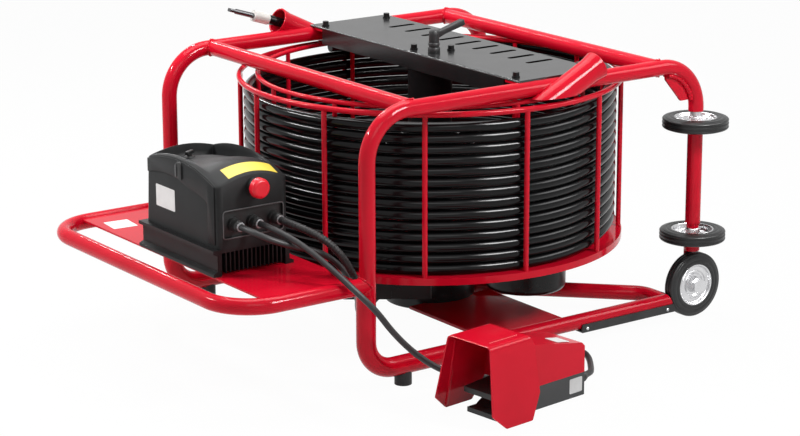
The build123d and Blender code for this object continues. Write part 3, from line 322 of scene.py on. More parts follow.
for wheel, tyre, rim in zip(wheel_seats, tyres, rims):
    settle(tyre, wheel + "_wheel_tyre", tyre_rubber, wheel + "_wheel")
    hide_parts(wheel + "_tyre")
    settle(rim, wheel + "_wheel_rim", zinc, wheel + "_wheel")
    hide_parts(wheel + "_rim")
dress(zinc, "lower_axles")
dress(turned_steel, "upper_axle")

# Basket: a red floor with a turned-down rim and two cages of round bar, welded and coated like the
# frame. It turns on the centre post with the whole coil.
dress(red_coat, "basket_floor", "outer_cage", "inner_cage")

# Drive: the motor hangs through the basket floor with its gear head above and a terminal box beside
# it, all painted black; a steel coupling takes the flexible shaft.
dress(black_paint, "motor_body", "gear_head", "terminal_box")
dress(turned_steel, "drive_coupling")

# Flexible shaft: one long black plastic casing wound in a single layer between the cages. Each turn
# lies level and climbs to the next within a seventh of a turn. The outer end leads out through the rear
# guide to a white collar and the bare steel core.
casing = finish("gloss_black_casing", dark=(0.003, 0.003, 0.0034), light=(0.005, 0.005, 0.0054), drift=18.0,
                rough=(0.12, 0.18), grain=260.0, relief=0.03, gloss=0.19)
white_plastic = finish("white_collar_plastic", dark=(0.62, 0.6, 0.56), light=(0.72, 0.71, 0.68), drift=40.0,
                       rough=(0.35, 0.5), grain=900.0, relief=0.1)
core_steel = finish("dark_core_steel", dark=(0.1, 0.1, 0.105), light=(0.17, 0.17, 0.175), drift=60.0,
                    rough=(0.24, 0.36), grain=900.0, relief=0.1, metal=1.0)
shaft_d = 22.6
coil_r, coil_z, pitch, turns = 397.0, 208.5, 23.1, 14
coil_start, climb_turn, climb_end, coil_stop = -8.0, 50.0, -34.0, 86.0
points_a_turn = 16
# The spline runs a little inside its control points, so they stand further out than the coil.
spline_r = coil_r / (0.75 + 0.25 * math.cos(2 * math.pi / points_a_turn))


def route(name, spots, steps):
    """A bare smooth spline with the given control points."""
    line = bpy.data.curves.new(name, "CURVE")
    line.dimensions = "3D"
    line.resolution_u = steps
    spline = line.splines.new("NURBS")
    spline.points.add(len(spots) - 1)
    for point, spot in zip(spline.points, spots):
        point.co = (*spot, 1.0)
    spline.order_u = 3
    spline.use_endpoint_u = True
    piece = bpy.data.objects.new(name, line)
    bpy.context.scene.collection.objects.link(piece)
    return piece


def thicken(piece, diameter, rounding, material):
    """Gives a spline a round section, closed ends and its finish."""
    piece.data.bevel_depth = diameter / 2
    piece.data.bevel_resolution = rounding
    piece.data.use_fill_caps = True
    piece.data.materials.append(material)


def hose(name, points, body, node):
    """A length of the flexible shaft along a smooth spline, which stands for its solid."""
    piece = route(name, [at(*place) for place in points], steps=6)
    thicken(piece, shaft_d / 1000, rounding=5, material=casing)
    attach(piece, body)
    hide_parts(node)


def coil_spot(angle, radius):
    """A point of the coil at an angle counted on from the lead through all the turns."""
    turn, part = divmod(angle - climb_end, 360.0)
    climb = max((part - 360.0) / climb_turn + 1.0, 0.0)
    level = turn + climb * climb * (3.0 - 2.0 * climb)
    turned_to = math.radians(angle)
    return (radius * math.cos(turned_to), radius * math.sin(turned_to), coil_z + pitch * level)


coil_line = [(187.1, -229.6, 225.0), (211.4, -223.5, 225.0), (246.0, -214.9, 217.0), (280.0, -206.4, 208.5),
             (375.2, -182.7, 208.5)]
step_angle = 360.0 / points_a_turn
angle = coil_start
while angle < coil_stop + 360.0 * turns - step_angle / 2:
    coil_line.append(coil_spot(angle, spline_r))
    angle += step_angle
stop_angle = math.radians(coil_stop)
stop_z = coil_z + pitch * turns
coil_line.append((coil_r * math.cos(stop_angle), coil_r * math.sin(stop_angle), stop_z))
coil_line.append((coil_r * math.cos(stop_angle) - shaft_d * math.sin(stop_angle),
                  coil_r * math.sin(stop_angle) + shaft_d * math.cos(stop_angle), stop_z))
lead_line = [(4.5, 403.9, 556.07), (-28.0, 402.5, 560.5), (-72.0, 402.0, 580.0), (-120.0, 403.0, 602.0),
             (-161.9, 403.0, 615.45)]
hose("shaft_coil", coil_line, "basket", "flex_shaft")
hose("shaft_lead_out", lead_line, "frame", "lead_out")
dress(white_plastic, "shaft_collar")
dress(core_steel, "core_tip")

# Top bar: a folded black channel bolted across the hoops, with plain slots along one side and six
# flanged hexagon bolts. The clamping lever, moulded in black plastic round a steel screw, locks the
# basket; it has a stepped hub and a flat arm that widens to a square end.
lever_plastic = finish("lever_plastic", dark=(0.012, 0.012, 0.0125), light=(0.02, 0.02, 0.021), drift=40.0,
                       rough=(0.36, 0.48), grain=1100.0, relief=0.2, gloss=0.4)
bar_paint = finish("gloss_black_bar_paint", dark=(0.006, 0.006, 0.0065), light=(0.009, 0.009, 0.0095),
                   drift=14.0, rough=(0.2, 0.27), grain=700.0, relief=0.05, gloss=0.7)
dress(bar_paint, "top_bar")
dress(black_paint, "bar_bolts")
lever_x, lever_y, lever_z = -18.0, -39.0, 594.15
lever_section = [(0, 0), (13.2, 0), (13.4, 0.8), (13.4, 9.6), (12.8, 10.6), (11.2, 11.2), (11.2, 13.6),
                 (12.4, 14.4), (12.6, 19.6), (12, 20.6), (11.4, 21.2), (11.2, 38), (10.8, 44), (9.4, 47.2),
                 (6, 48.4), (0, 48.6)]
arm_root = Vector((12.0, 13.5, 16.0))
arm_steps = ((16.0, 0.94, 0.8), (28.0, 1.04, 1.06), (24.0, 1.05, 1.06), (5.0, 0.9, 0.86))
arm_out, arm_rise, arm_tilt = 3.0, 37.0, math.radians(-15.6)
screw_r, screw_length, screw_z = 5.0, 35.5, 576.8
lever_hub = turned(lever_section, steps=24)
lever_hub.matrix_world = Matrix.Translation(at(lever_x, lever_y, lever_z))
settle(lever_hub, "lever_hub", lever_plastic, "lever")
bpy.ops.object.select_all(action="DESELECT")
bpy.ops.mesh.primitive_cube_add(size=1.0)
lever_arm = bpy.context.object
bpy.ops.object.mode_set(mode="EDIT")
bpy.ops.transform.resize(value=arm_root / 1000)
bpy.ops.mesh.select_all(action="DESELECT")
bpy.ops.object.mode_set(mode="OBJECT")
for face in lever_arm.data.polygons:
    face.select = face.normal.x > 0.9
bpy.ops.object.mode_set(mode="EDIT")
for reach, wide, tall in arm_steps:
    bpy.ops.mesh.extrude_region_move(TRANSFORM_OT_translate={"value": (reach / 1000, 0.0, 0.0)})
    bpy.ops.transform.resize(value=(1.0, wide, tall))
bpy.ops.object.mode_set(mode="OBJECT")
round_edges(lever_arm, width=2.2, limit=40.0)
lever_arm.matrix_world = (Matrix.Translation(at(lever_x + arm_out, lever_y, lever_z + arm_rise))
                          @ Matrix.Rotation(arm_tilt, 4, "Y"))
settle(lever_arm, "lever_arm", lever_plastic, "lever")
bpy.ops.object.select_all(action="DESELECT")
bpy.ops.mesh.primitive_cylinder_add(vertices=24, radius=screw_r / 1000, depth=screw_length / 1000)
lever_screw = bpy.context.object
round_edges(lever_screw, width=0.8, limit=30.0)
lever_screw.matrix_world = Matrix.Translation(at(lever_x, lever_y, screw_z))
settle(lever_screw, "lever_screw", turned_steel, "lever")
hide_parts("clamp_lever")

# Shaft guides: slanted ends of coated steel tube, welded into both hoops, each with a flared mouth
# and a lip rolled round its edge, so that the shaft slides over it.
dress(red_coat, "shaft_guides")
mouth_x, mouth_y, mouth_z, mouth_tilt = 132.0, 405.0, 608.0, math.radians(26)
lip_r, lip_d = 27.7, 4.6
for side, end in ends:
    lip = ring(lip_r, lip_d, steps=64, sides=12)
    lip.matrix_world = (Matrix.Translation(at(-side * mouth_x, side * mouth_y, mouth_z))
                        @ Matrix.Rotation(-side * (math.pi / 2 - mouth_tilt), 4, "Y"))
    settle(lip, f"{end}_guide_lip", red_coat, "frame", smooth=60.0)

# Control box: a finned heat sink under an arched, textured housing of two shells, with a sunk
# connector panel, cable glands, a catch on each side and a red mushroom stop button on a black collar.
# Blank labels are stuck on its left side, across the front of its roof and on the platform behind it.
sink_metal = finish("dark_heat_sink", dark=(0.006, 0.006, 0.0065), light=(0.011, 0.011, 0.0115), drift=30.0,
                    rough=(0.3, 0.42), grain=700.0, relief=0.12, gloss=0.25)
textured_coat = finish("textured_charcoal_coat", dark=(0.016, 0.0165, 0.017), light=(0.024, 0.0245, 0.025),
                       drift=22.0, rough=(0.36, 0.48), grain=1400.0, relief=0.4, gloss=0.13)
black_plastic = finish("matte_black_plastic", dark=(0.01, 0.01, 0.01), light=(0.018, 0.018, 0.018),
                       drift=40.0, rough=(0.38, 0.5), grain=1300.0, relief=0.2, gloss=0.4)
red_plastic = finish("stop_button_red", dark=(0.76, 0.008, 0.022), light=(0.84, 0.012, 0.03), drift=50.0,
                     rough=(0.26, 0.36), grain=900.0, relief=0.1, gloss=0.4)
label_white = finish("blank_label_white", dark=(0.74, 0.74, 0.73), light=(0.82, 0.82, 0.81), drift=30.0,
                     rough=(0.35, 0.45), grain=900.0, relief=0.05)
label_yellow = finish("blank_label_yellow", dark=(0.78, 0.58, 0.06), light=(0.86, 0.66, 0.09), drift=30.0,
                      rough=(0.35, 0.45), grain=900.0, relief=0.05)
entry_grey = finish("gland_seal_grey", dark=(0.3, 0.3, 0.31), light=(0.42, 0.42, 0.43), drift=50.0,
                    rough=(0.4, 0.5), grain=900.0, relief=0.1)
panel_grey = finish("panel_edge_grey", dark=(0.07, 0.071, 0.073), light=(0.1, 0.101, 0.103), drift=40.0,
                    rough=(0.3, 0.4), grain=1100.0, relief=0.15)
dress(sink_metal, "heat_sink")
dress(black_plastic, "connector_panel", "box_fittings")
dress(red_plastic, "estop_button")

box_x, box_half, sink_z = -580.0, 83.0, 290.0
box_front, box_back, back_lean, lean_reach, corner_r = -187.0, 91.5, 8.5, 120.0, 10.0
ridge_y, ridge_z, ridge_r = -31.4555, 68.7025, 380.5386
front_rise, back_rise = 22.0, 14.0
rim_wide, rim_wall, lid_front, lid_ramp, lid_depth = 9.0, 5.0, -150.0, 135.0, 29.0
edge_drop, edge_wide = 1.8, 2.5


def roof_z(x, y):
    """Height of the housing's arched roof, from the floor, before the lid is sunk into it."""
    rise = front_rise + (back_rise - front_rise) * (y - box_front) / (box_back - box_front)
    crown = rise * (1.0 - ((x - box_x) / box_half) ** 2)
    return ridge_z + math.sqrt(ridge_r ** 2 - (y - ridge_y) ** 2) + crown


def ease(share):
    """A share from 0 to 1 that starts and ends gently."""
    share = min(max(share, 0.0), 1.0)
    return share * share * (3.0 - 2.0 * share)


def lid_z(x, y):
    """Height of the roof with its lid sunk between a rim at each side and one at the back."""
    from_side = box_half - rim_wide - abs(x - box_x)
    inside = ease(from_side / rim_wall) * ease((box_back - rim_wide - y) / rim_wall)
    return roof_z(x, y) - lid_depth * inside * ease((y - lid_front) / lid_ramp)


def rounded_plan(x, y):
    """A point of the box's plan, drawn in where the plan's corners are round."""
    over_x = max(abs(x - box_x) - box_half + corner_r, 0.0) / corner_r
    over_y = max(y - box_back + corner_r, box_front + corner_r - y, 0.0) / corner_r
    if over_x and over_y:
        x -= math.copysign(corner_r * over_x * (1.0 - math.sqrt(1.0 - over_y ** 2 / 2)), x - box_x)
        y -= math.copysign(corner_r * over_y * (1.0 - math.sqrt(1.0 - over_x ** 2 / 2)), y)
    return x, y


half_lines = [14.0, 28.0, 42.0, 54.0, 63.0, 67.5, 69.0, 70.2, 71.5, 72.8, 74.0, 77.0, 80.5, 82.2, box_half]
lines_across = [-reach for reach in reversed(half_lines)] + [0.0] + half_lines
lines_along = [box_front, -186.2, -184.5, -181.0, -175.0]
lines_along += [-165.0 + 10.0 * count for count in range(24)]
lines_along += [72.0, 76.5, 78.5, 79.8, 81.0, 82.2, 83.5, 86.0, 89.0, 90.7, box_back]
cells_across, cells_along = len(lines_across) - 1, len(lines_along) - 1
bpy.ops.object.select_all(action="DESELECT")
bpy.ops.mesh.primitive_grid_add(x_subdivisions=cells_across, y_subdivisions=cells_along, size=1.0)
housing = bpy.context.object
roof_spots = len(housing.data.vertices)
for spot in housing.data.vertices:
    x = box_x + lines_across[round((spot.co.x + 0.5) * cells_across)]
    y = lines_along[round((spot.co.y + 0.5) * cells_along)]
    to_edge = min(box_half - abs(x - box_x), y - box_front, box_back - y)
    spot.co = at(*rounded_plan(x, y), lid_z(x, y) - edge_drop * max(1.0 - to_edge / edge_wide, 0.0) ** 2)
bpy.ops.object.mode_set(mode="EDIT")
bpy.ops.mesh.select_all(action="SELECT")
bpy.ops.mesh.region_to_loop()
bpy.ops.mesh.extrude_region_move()
bpy.ops.object.mode_set(mode="OBJECT")
middle_y = at(0.0, (box_front + box_back) / 2, 0.0).y
for spot in housing.data.vertices[roof_spots:]:
    if spot.co.y > middle_y:
        spot.co.y += back_lean / 1000 * ease((spot.co.y - middle_y) * 1000 / lean_reach)
    spot.co.z = sink_z / 1000
bpy.ops.object.mode_set(mode="EDIT")
bpy.ops.mesh.select_mode(type="EDGE")
bpy.ops.mesh.select_all(action="DESELECT")
bpy.ops.mesh.select_non_manifold()
bpy.ops.mesh.edge_face_add()
bpy.ops.mesh.select_mode(type="VERT")
bpy.ops.mesh.select_all(action="SELECT")
bpy.ops.mesh.normals_make_consistent(inside=False)
bpy.ops.object.mode_set(mode="OBJECT")
panel_w, panel_h, panel_z = 141.0, 55.0, sink_z + 49.5
cutter_in, cutter_deep = 3.0, 10.0
bpy.ops.object.select_all(action="DESELECT")
bpy.ops.mesh.primitive_cube_add(size=1.0, location=at(box_x, box_front + cutter_in, panel_z))
panel_cutter = bpy.context.object
panel_cutter.scale = (panel_w / 1000, cutter_deep / 1000, panel_h / 1000)
cut = housing.modifiers.new("panel_recess", "BOOLEAN")
cut.operation = "DIFFERENCE"
cut.solver = "EXACT"
cut.object = panel_cutter
settle(housing, "arched_housing", textured_coat, "frame", smooth=40.0)
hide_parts("box_housing")
bpy.data.objects.remove(panel_cutter, do_unlink=True)

latch_x, latch_y, latch_sunk = -600.0, 24.0, 2.5
latch_section = [(0, 0), (12, 0), (12, 4.5), (10.5, 6), (5.5, 6.6), (5.5, 10.5), (0, 10.5)]
wing_size, wing_round, wing_rise, wing_turn = Vector((24.0, 8.0, 8.0)), 1.8, 13.5, 0.5
latch_place = Matrix.Translation(at(latch_x, latch_y, lid_z(latch_x, latch_y) - latch_sunk))
latch_base = turned(latch_section, steps=28)
latch_base.matrix_world = latch_place
settle(latch_base, "lid_latch_base", black_plastic, "frame")
bpy.ops.object.select_all(action="DESELECT")
bpy.ops.mesh.primitive_cube_add(size=1.0)
latch_wing = bpy.context.object
bpy.ops.object.mode_set(mode="EDIT")
bpy.ops.transform.resize(value=wing_size / 1000)
bpy.ops.mesh.bevel(offset=wing_round / 1000, segments=3)
bpy.ops.object.mode_set(mode="OBJECT")
latch_wing.matrix_world = (latch_place @ Matrix.Translation((0.0, 0.0, wing_rise / 1000))
                           @ Matrix.Rotation(wing_turn, 4, "Z"))
settle(latch_wing, "lid_latch_wing", black_plastic, "frame")

band_low, band_front, band_drop, wall_inset = 298.0, -176.0, 2.4, 0.3
shell_seam = [(-150.0, band_low), (-150.0, 374.0), (-148.0, 381.0), (-140.0, 385.5), (-124.0, 390.0),
              (-95.0, 397.0), (-65.0, 402.8), (-35.0, 407.6), (-11.0, 410.0), (17.0, 410.0), (42.0, 408.0),
              (62.0, 405.0), (86.0, 400.0)]
roof_edge = [(y, roof_z(box_x - box_half, y) - band_drop)
             for y in (86.0, 60.0, 30.0, 0.0, -30.0, -60.0, -90.0, -120.0, -150.0, band_front)]
shell_band = shell_seam + roof_edge + [(band_front, band_low)]
# Along the front half of the seam between the shells, a thin strip of black rubber stands for the shadow
# under the upper shell's overhang. It is a painted shadow.
seam_shadow_strip = shell_seam[4:8] + [(-35.0, 406.4), (-65.0, 398.6), (-95.0, 392.4), (-124.0, 388.0)]
catch = [(-33.0, 410.0), (-55.0, 410.0), (-55.0, 440.0), (-51.0, 445.0), (-39.0, 445.0), (-33.0, 440.0)]
catch_rib = [(-33.5, 413.0), (-38.0, 413.0), (-38.0, 440.0), (-33.5, 438.0)]
for side, hand in ((-1, "left"), (1, "right")):
    wall_x = box_x + side * (box_half - wall_inset)
    for part, outline, thick, material, slot in (
            ("shell_band", shell_band, 2.7, textured_coat, "grey_housing"),
            ("seam_shadow_strip", seam_shadow_strip, 1.2, rubber, "black_plastic"),
            ("catch", catch, 5.76, black_plastic, "black_plastic"),
            ("catch_rib", catch_rib, 7.68, panel_grey, "grey_housing")):
        plate(f"{hand}_{part}", [at(wall_x, y, z) for y, z in outline],
              Vector((side * thick / 1000, 0.0, 0.0)), material)

label_thick, label_corner = 0.4, 2.5


def give_thickness(sheet):
    """Makes a flat sheet as thick as a label."""
    label_body = sheet.modifiers.new("thickness", "SOLIDIFY")
    label_body.thickness = label_thick / 1000
    label_body.offset = 1.0


def label(name, place, across, up, width, height, material):
    """A thin blank label with rounded corners, its middle at a place and its sides along two directions."""
    bpy.ops.object.select_all(action="DESELECT")
    bpy.ops.mesh.primitive_plane_add(size=1.0)
    sheet = bpy.context.object
    bpy.ops.object.mode_set(mode="EDIT")
    bpy.ops.transform.resize(value=(width / 1000, height / 1000, 1.0))
    bpy.ops.mesh.bevel(offset=label_corner / 1000, segments=4, affect="VERTICES")
    bpy.ops.object.mode_set(mode="OBJECT")
    give_thickness(sheet)
    across = Vector(across).normalized()
    up = Vector(up).normalized()
    turn = Matrix((across, up, across.cross(up))).transposed().to_4x4()
    sheet.matrix_world = Matrix.Translation(place) @ turn
    settle(sheet, name, material, "frame")


label("box_side_label", at(box_x - box_half, 18.5, 356.5), across=(0, -1, 0), up=(0, 0, 1),
      width=75.0, height=46.0, material=label_white)

roof_label_x, roof_label_y, roof_label_w, roof_label_h, roof_label_up = box_x + 6.0, -164.5, 116.0, 32.0, 0.1
bpy.ops.object.select_all(action="DESELECT")
bpy.ops.mesh.primitive_grid_add(x_subdivisions=24, y_subdivisions=6, size=1.0)
roof_label = bpy.context.object
for spot in roof_label.data.vertices:
    x = roof_label_x + spot.co.x * roof_label_w
    y = roof_label_y + spot.co.y * roof_label_h
    spot.co = at(x, y, roof_z(x, y) + roof_label_up)
give_thickness(roof_label)
settle(roof_label, "box_roof_label", label_yellow, "frame")

border_over, border_corner, border_wide, border_out, border_in = 5.0, 8.0, 2.6, 1.8, 0.2
bpy.ops.object.select_all(action="DESELECT")
bpy.ops.mesh.primitive_plane_add(size=1.0)
panel_edge = bpy.context.object
bpy.ops.object.mode_set(mode="EDIT")
bpy.ops.transform.resize(value=((panel_w + border_over) / 1000, (panel_h + border_over) / 1000, 1.0))
bpy.ops.mesh.bevel(offset=border_corner / 1000, segments=6, affect="VERTICES")
bpy.ops.mesh.inset(thickness=border_wide / 1000)
bpy.ops.mesh.delete(type="FACE")
bpy.ops.mesh.select_all(action="SELECT")
bpy.ops.mesh.extrude_region_move(TRANSFORM_OT_translate={"value": (0.0, 0.0, border_out / 1000)})
bpy.ops.mesh.select_all(action="SELECT")
bpy.ops.mesh.normals_make_consistent(inside=False)
bpy.ops.object.mode_set(mode="OBJECT")
round_edges(panel_edge, width=0.6, limit=50.0)
panel_edge.matrix_world = (Matrix.Translation(at(box_x, box_front + border_in, panel_z))
                           @ Matrix.Rotation(math.pi / 2, 4, "X"))
settle(panel_edge, "connector_panel_border", panel_grey, "frame")

gland_x, gland_y, gland_z = (-45.0, 0.0, 50.0), -211.6, sink_z + 48.0
seal_r, seal_d = 7.8, 3.4
seal_seats = [Matrix.Translation(at(box_x + x, gland_y, gland_z)) @ Matrix.Rotation(math.pi / 2, 4, "X")
              for x in gland_x]
for count, seal in enumerate(copies(ring(seal_r, seal_d, steps=32, sides=10), seal_seats)):
    settle(seal, f"gland_seal_{count}", entry_grey, "frame", smooth=60.0)

label("platform_label", at(-625.0, 281.0, 235.0), across=(1, -0.1, 0), up=(0.1, 1, 0),
      width=56.0, height=60.0, material=label_white)

# Cables: three rubber leads out of the box. One lies along the floor to the foot switch and two go
# down to the hub; each sags under its own weight between its ends. The thick one has a spiral wrap.
cable_rubber = finish("cable_rubber", dark=(0.018, 0.018, 0.019), light=(0.03, 0.03, 0.031), drift=30.0,
                      rough=(0.4, 0.55), grain=1500.0, relief=0.15, gloss=0.4)
lead_steps = 8


def cable(name, node, points, diameter):
    """A lead along a smooth spline, which stands for its solid."""
    lead = route(name, [at(*place) for place in points], lead_steps)
    thicken(lead, diameter, rounding=6, material=cable_rubber)
    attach(lead, "frame")
    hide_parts(node)


supply_route = [
    (-625, -212, 338), (-625, -244, 338), (-612, -272, 330), (-586, -287, 317), (-551, -292, 304),
    (-510, -296, 291), (-471, -304, 270), (-440, -311, 235), (-414, -306, 193), (-384, -274, 152),
    (-349, -226, 116), (-311, -168, 94), (-271, -107, 86), (-229, -51, 87), (-177, -14, 88),
    (-117.9, -6.2, 88)]
motor_route = [
    (-530, -212, 338), (-530, -240, 338), (-522, -268, 334), (-502, -298, 322), (-480, -320, 302),
    (-461, -336, 274), (-446, -345, 240), (-428, -343, 201), (-401, -319, 160), (-365, -274, 124),
    (-326, -221, 98), (-284, -164, 85), (-240, -112, 84), (-180, -66, 86), (-110.9, -40.4, 86)]
pedal_route = [
    (-580, -212, 338), (-580, -240, 338), (-571, -273, 332), (-547, -320, 311), (-517, -375, 271),
    (-488, -423, 227), (-452, -435, 187), (-415, -439, 136), (-371, -448, 88), (-320, -455, 48),
    (-265, -466, 20), (-200, -468, 8), (-140, -456, 7), (-85, -434, 7), (-36, -408, 7), (4, -399, 7),
    (37, -408, 7), (58, -433, 8), (61, -467, 9), (43, -502, 11), (17, -538, 15), (-6, -567, 19),
    (-27, -593, 23.5), (-47, -615, 27), (-68.2, -623.3, 28)]

wrap_start, wrap_length, wrap_pitch, wrap_r, wrap_strand = 0.012, 0.46, 0.0062, 0.0076, 0.003
points_a_wrap = 8
guide_line = route("wrap_guide", [at(*place) for place in motor_route], lead_steps)
guide_mesh = bpy.data.meshes.new_from_object(guide_line)
middles = [spot.co.copy() for spot in guide_mesh.vertices]
bpy.data.objects.remove(guide_line)
bpy.data.meshes.remove(guide_mesh)
side_way = Vector((1.0, 0.0, 0.0))
passed, wrap_points, next_at = 0.0, [], wrap_start
for here, there in zip(middles, middles[1:]):
    way = (there - here).normalized()
    side_way = (side_way - way * side_way.dot(way)).normalized()
    other_way = way.cross(side_way)
    run = (there - here).length
    while next_at <= passed + run and next_at <= wrap_start + wrap_length:
        turn = 2 * math.pi * (next_at - wrap_start) / wrap_pitch
        off_middle = side_way * math.cos(turn) + other_way * math.sin(turn)
        wrap_points.append(here + way * (next_at - passed) + wrap_r * off_middle)
        next_at += wrap_pitch / points_a_wrap
    passed += run
wrap = route("motor_lead_wrap", wrap_points, steps=2)
thicken(wrap, wrap_strand, rounding=1, material=black_plastic)
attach(wrap, "frame")
cable("supply_lead", "supply_cable", supply_route, diameter=0.013)
cable("motor_lead", "motor_cable", motor_route, diameter=0.015)
cable("foot_switch_lead", "pedal_cord", pedal_route, diameter=0.013)

# Foot switch: a folded red hood and a red cover on a dark grey tray, with a black treadle on a steel
# pin and a toe plate in front of it. The hood has a rib inside each cheek and a row of small pips along
# its fold, and blank labels are stuck on the cover and on the tray.
grey_plastic = finish("grey_tray_plastic", dark=(0.03, 0.031, 0.032), light=(0.042, 0.043, 0.045),
                      drift=30.0, rough=(0.42, 0.55), grain=1200.0, relief=0.3, gloss=0.4)
label_silver = finish("blank_label_silver", dark=(0.5, 0.5, 0.5), light=(0.62, 0.62, 0.62), drift=30.0,
                      rough=(0.3, 0.42), grain=900.0, relief=0.05, metal=0.4)
# The pips get a lighter red than the hood's coat. This is a painted highlight, so that they show as a row of
# bright dots.
pip_highlight_red = finish("painted_highlight_pip_red", dark=(0.62, 0.09, 0.11), light=(0.75, 0.2, 0.22), drift=200.0,
                  rough=(0.2, 0.3), grain=900.0, relief=0.1)
dress(red_coat, "pedal_hood", "pedal_cover")
dress(grey_plastic, "pedal_base")
dress(black_plastic, "treadle", "toe_plate")
dress(turned_steel, "pedal_pin")
pedal_x, pedal_y, pedal_yaw = -340.0, -633.5, math.radians(7.0)
pedal_ahead = Vector((math.cos(pedal_yaw), math.sin(pedal_yaw), 0.0))
pedal_left = Vector((-math.sin(pedal_yaw), math.cos(pedal_yaw), 0.0))
upright = Vector((0.0, 0.0, 1.0))


def on_pedal(x, y, z):
    """A point in the foot switch's own frame, X towards its cable."""
    return at(pedal_x, pedal_y, z) + pedal_ahead * (x / 1000) + pedal_left * (y / 1000)


hood_foot, hood_flare, hood_top, hood_back = 84.4, 28.0, 164.0, 83.0
rib_x, rib_foot, rib_head, rib_out, rib_wide, rib_round = -17.0, 8.0, 148.0, 3.4, 6.0, 1.2
for side, hand in ((-1, "right"), (1, "left")):
    bpy.ops.object.select_all(action="DESELECT")
    bpy.ops.mesh.primitive_cube_add(size=1.0)
    rib = bpy.context.object
    for spot in rib.data.vertices:
        z = rib_foot + (rib_head - rib_foot) * (spot.co.z + 0.5)
        wall = hood_foot - hood_flare * z / hood_top
        spot.co = on_pedal(rib_x + rib_wide * spot.co.x, side * (wall - rib_out * (spot.co.y + 0.5)), z)
    bpy.ops.object.mode_set(mode="EDIT")
    bpy.ops.mesh.select_all(action="SELECT")
    bpy.ops.mesh.normals_make_consistent(inside=False)
    bpy.ops.mesh.bevel(offset=rib_round / 1000, segments=3)
    bpy.ops.object.mode_set(mode="OBJECT")
    settle(rib, f"{hand}_hood_rib", red_coat, "frame")

pip_section = [(0, 1.2), (0.8, 1.0), (1.3, 0.6), (1.5, 0), (0, -0.3)]
pip_x, pip_step, pip_y, pip_count = -16.0, 5.5, -38.0, 14
pip_seats = [Matrix.Translation(on_pedal(pip_x + pip_step * count, pip_y, hood_top))
             for count in range(pip_count)]
# The pips carry the lighter red of the painted highlight.
for count, pip in enumerate(copies(turned(pip_section, steps=10), pip_seats)):
    settle(pip, f"hood_pip_{count}", pip_highlight_red, "frame")

cover_long, cover_nose_z, cover_fall = 160.0, 140.0, 29.0
cover_label_along, cover_label_y = 105.0, -22.0
cover_label_z = cover_nose_z - cover_fall * cover_label_along / cover_long
label("cover_label", on_pedal(hood_back + cover_label_along, cover_label_y, cover_label_z),
      across=pedal_ahead * cover_long - upright * cover_fall, up=pedal_left, width=36.0, height=36.0,
      material=label_white)
label("tray_label", on_pedal(218.0, -47.0, 25.0), across=pedal_ahead, up=upright, width=36.0, height=31.0,
      material=label_silver)

# Studio: a pale floor and a white surround, with soft lamps above, on the left, behind and in front of
# the machine, and two strips in front that only make reflections, at a level that leaves each colour
# about as it is written. The camera stands where the photo was taken.
floor_size, floor_z, floor_glow, sky_strength = 16.0, -0.0005, 0.97, 0.16


def show_white(tree, base, white, share, surface):
    """Shows a white shader, in a share, to the camera and in reflections, and the base shader elsewhere."""
    nodes, links = tree.nodes, tree.links
    sight = nodes.new("ShaderNodeLightPath")
    seen = nodes.new("ShaderNodeMath")
    seen.operation = "MAXIMUM"
    part = nodes.new("ShaderNodeMath")
    part.operation = "MULTIPLY"
    part.inputs[1].default_value = share
    blend = nodes.new("ShaderNodeMixShader")
    links.new(sight.outputs["Is Camera Ray"], seen.inputs[0])
    links.new(sight.outputs["Is Glossy Ray"], seen.inputs[1])
    links.new(seen.outputs["Value"], part.inputs[0])
    links.new(part.outputs["Value"], blend.inputs["Fac"])
    links.new(base, blend.inputs[1])
    links.new(white, blend.inputs[2])
    links.new(blend.outputs["Shader"], surface)


bpy.ops.object.select_all(action="DESELECT")
bpy.ops.mesh.primitive_plane_add(size=floor_size, location=(0.0, 0.0, floor_z))
floor = bpy.context.object
floor.name = "studio_floor"
floor_white = bpy.data.materials.new("studio_floor_white")
floor_white.use_nodes = True
floor_nodes = floor_white.node_tree.nodes
floor_shader = floor_nodes["Principled BSDF"]
floor_shader.inputs["Base Color"].default_value = (0.74, 0.74, 0.74, 1.0)
floor_shader.inputs["Roughness"].default_value = 0.9
floor_shader.inputs["Specular IOR Level"].default_value = 0.0
glow = floor_nodes.new("ShaderNodeEmission")
show_white(floor_white.node_tree, floor_shader.outputs["BSDF"], glow.outputs["Emission"], floor_glow,
           floor_nodes["Material Output"].inputs["Surface"])
floor.data.materials.append(floor_white)

surround = bpy.data.worlds.new("white_surround")
bpy.context.scene.world = surround
surround.use_nodes = True
sky_nodes = surround.node_tree.nodes
sky_light = sky_nodes["Background"]
sky_light.inputs["Color"].default_value = (1.0, 1.0, 1.0, 1.0)
sky_light.inputs["Strength"].default_value = sky_strength
sky_white = sky_nodes.new("ShaderNodeBackground")
sky_white.inputs["Strength"].default_value = 1.0
show_white(surround.node_tree, sky_light.outputs["Background"], sky_white.outputs["Background"], 1.0,
           sky_nodes["World Output"].inputs["Surface"])


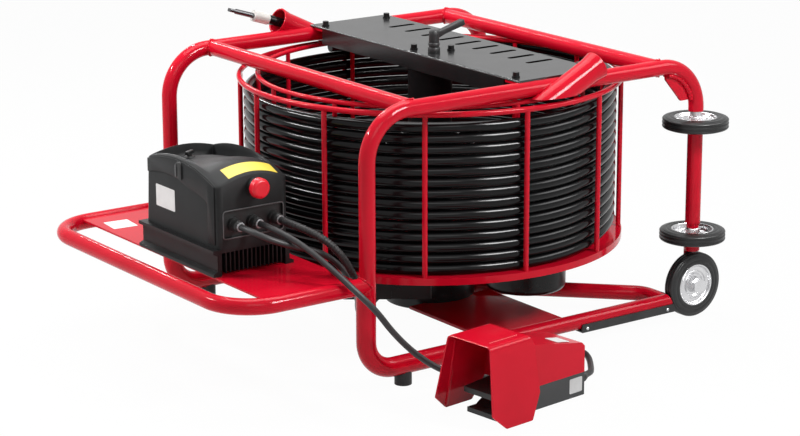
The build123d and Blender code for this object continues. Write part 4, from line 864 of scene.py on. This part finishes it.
def softbox(name, place, aim, width, height, power):
    """A rectangular lamp that faces a point on the machine."""
    lamp = bpy.data.lights.new(name, "AREA")
    lamp.shape = "RECTANGLE"
    lamp.size = width
    lamp.size_y = height
    lamp.energy = power
    holder = bpy.data.objects.new(name, lamp)
    holder.location = place
    holder.rotation_euler = (Vector(aim) - Vector(place)).to_track_quat("-Z", "Y").to_euler()
    bpy.context.scene.collection.objects.link(holder)
    return holder


softbox("top_softbox", (0.1, 0.5, 2.6), (0.1, 0.1, 0.3), width=2.0, height=1.6, power=52.0)
softbox("left_strip", (-1.9, 1.5, 2.0), (0.2, 0.6, 0.35), width=1.1, height=0.08, power=48.0)
softbox("back_strip", (0.3, 2.5, 2.1), (0.0, 0.1, 0.4), width=0.07, height=1.4, power=16.0)
softbox("front_strip", (0.75, -1.9, 2.0), (0.2, 0.0, 0.35), width=0.4, height=0.6, power=38.0)
softbox("near_softbox", (-1.5, -2.4, 2.2), (0.0, 0.0, 0.35), width=1.6, height=1.3, power=15.0)
sheen_aim = (0.1, -0.25, 0.4)
streak_strip = softbox("streak_strip", (0.3, -1.95, 2.0), sheen_aim, width=0.45, height=0.9, power=60.0)
right_strip = softbox("right_strip", (2.1, -1.6, 2.0), sheen_aim, width=1.4, height=0.9, power=28.0)
for strip in (streak_strip, right_strip):
    strip.visible_diffuse = False

eye = bpy.data.cameras.new("photo_camera")
eye.sensor_width = 36.0
eye.lens = 110.937
eye_holder = bpy.data.objects.new("photo_camera", eye)
bpy.context.scene.collection.objects.link(eye_holder)
eye_place = at(-3134.25, -4254.85, 1650.4)
eye_yaw, eye_pitch, eye_roll = 0.6223, 0.266082, -0.00277
eye_turn = Matrix.Rotation(-eye_yaw, 4, "Z") @ Matrix.Rotation(math.pi / 2 - eye_pitch, 4, "X")
eye_holder.matrix_world = Matrix.Translation(eye_place) @ eye_turn @ Matrix.Rotation(eye_roll, 4, "Z")
bpy.context.scene.camera = eye_holder
bpy.context.scene.view_settings.view_transform = "Standard"
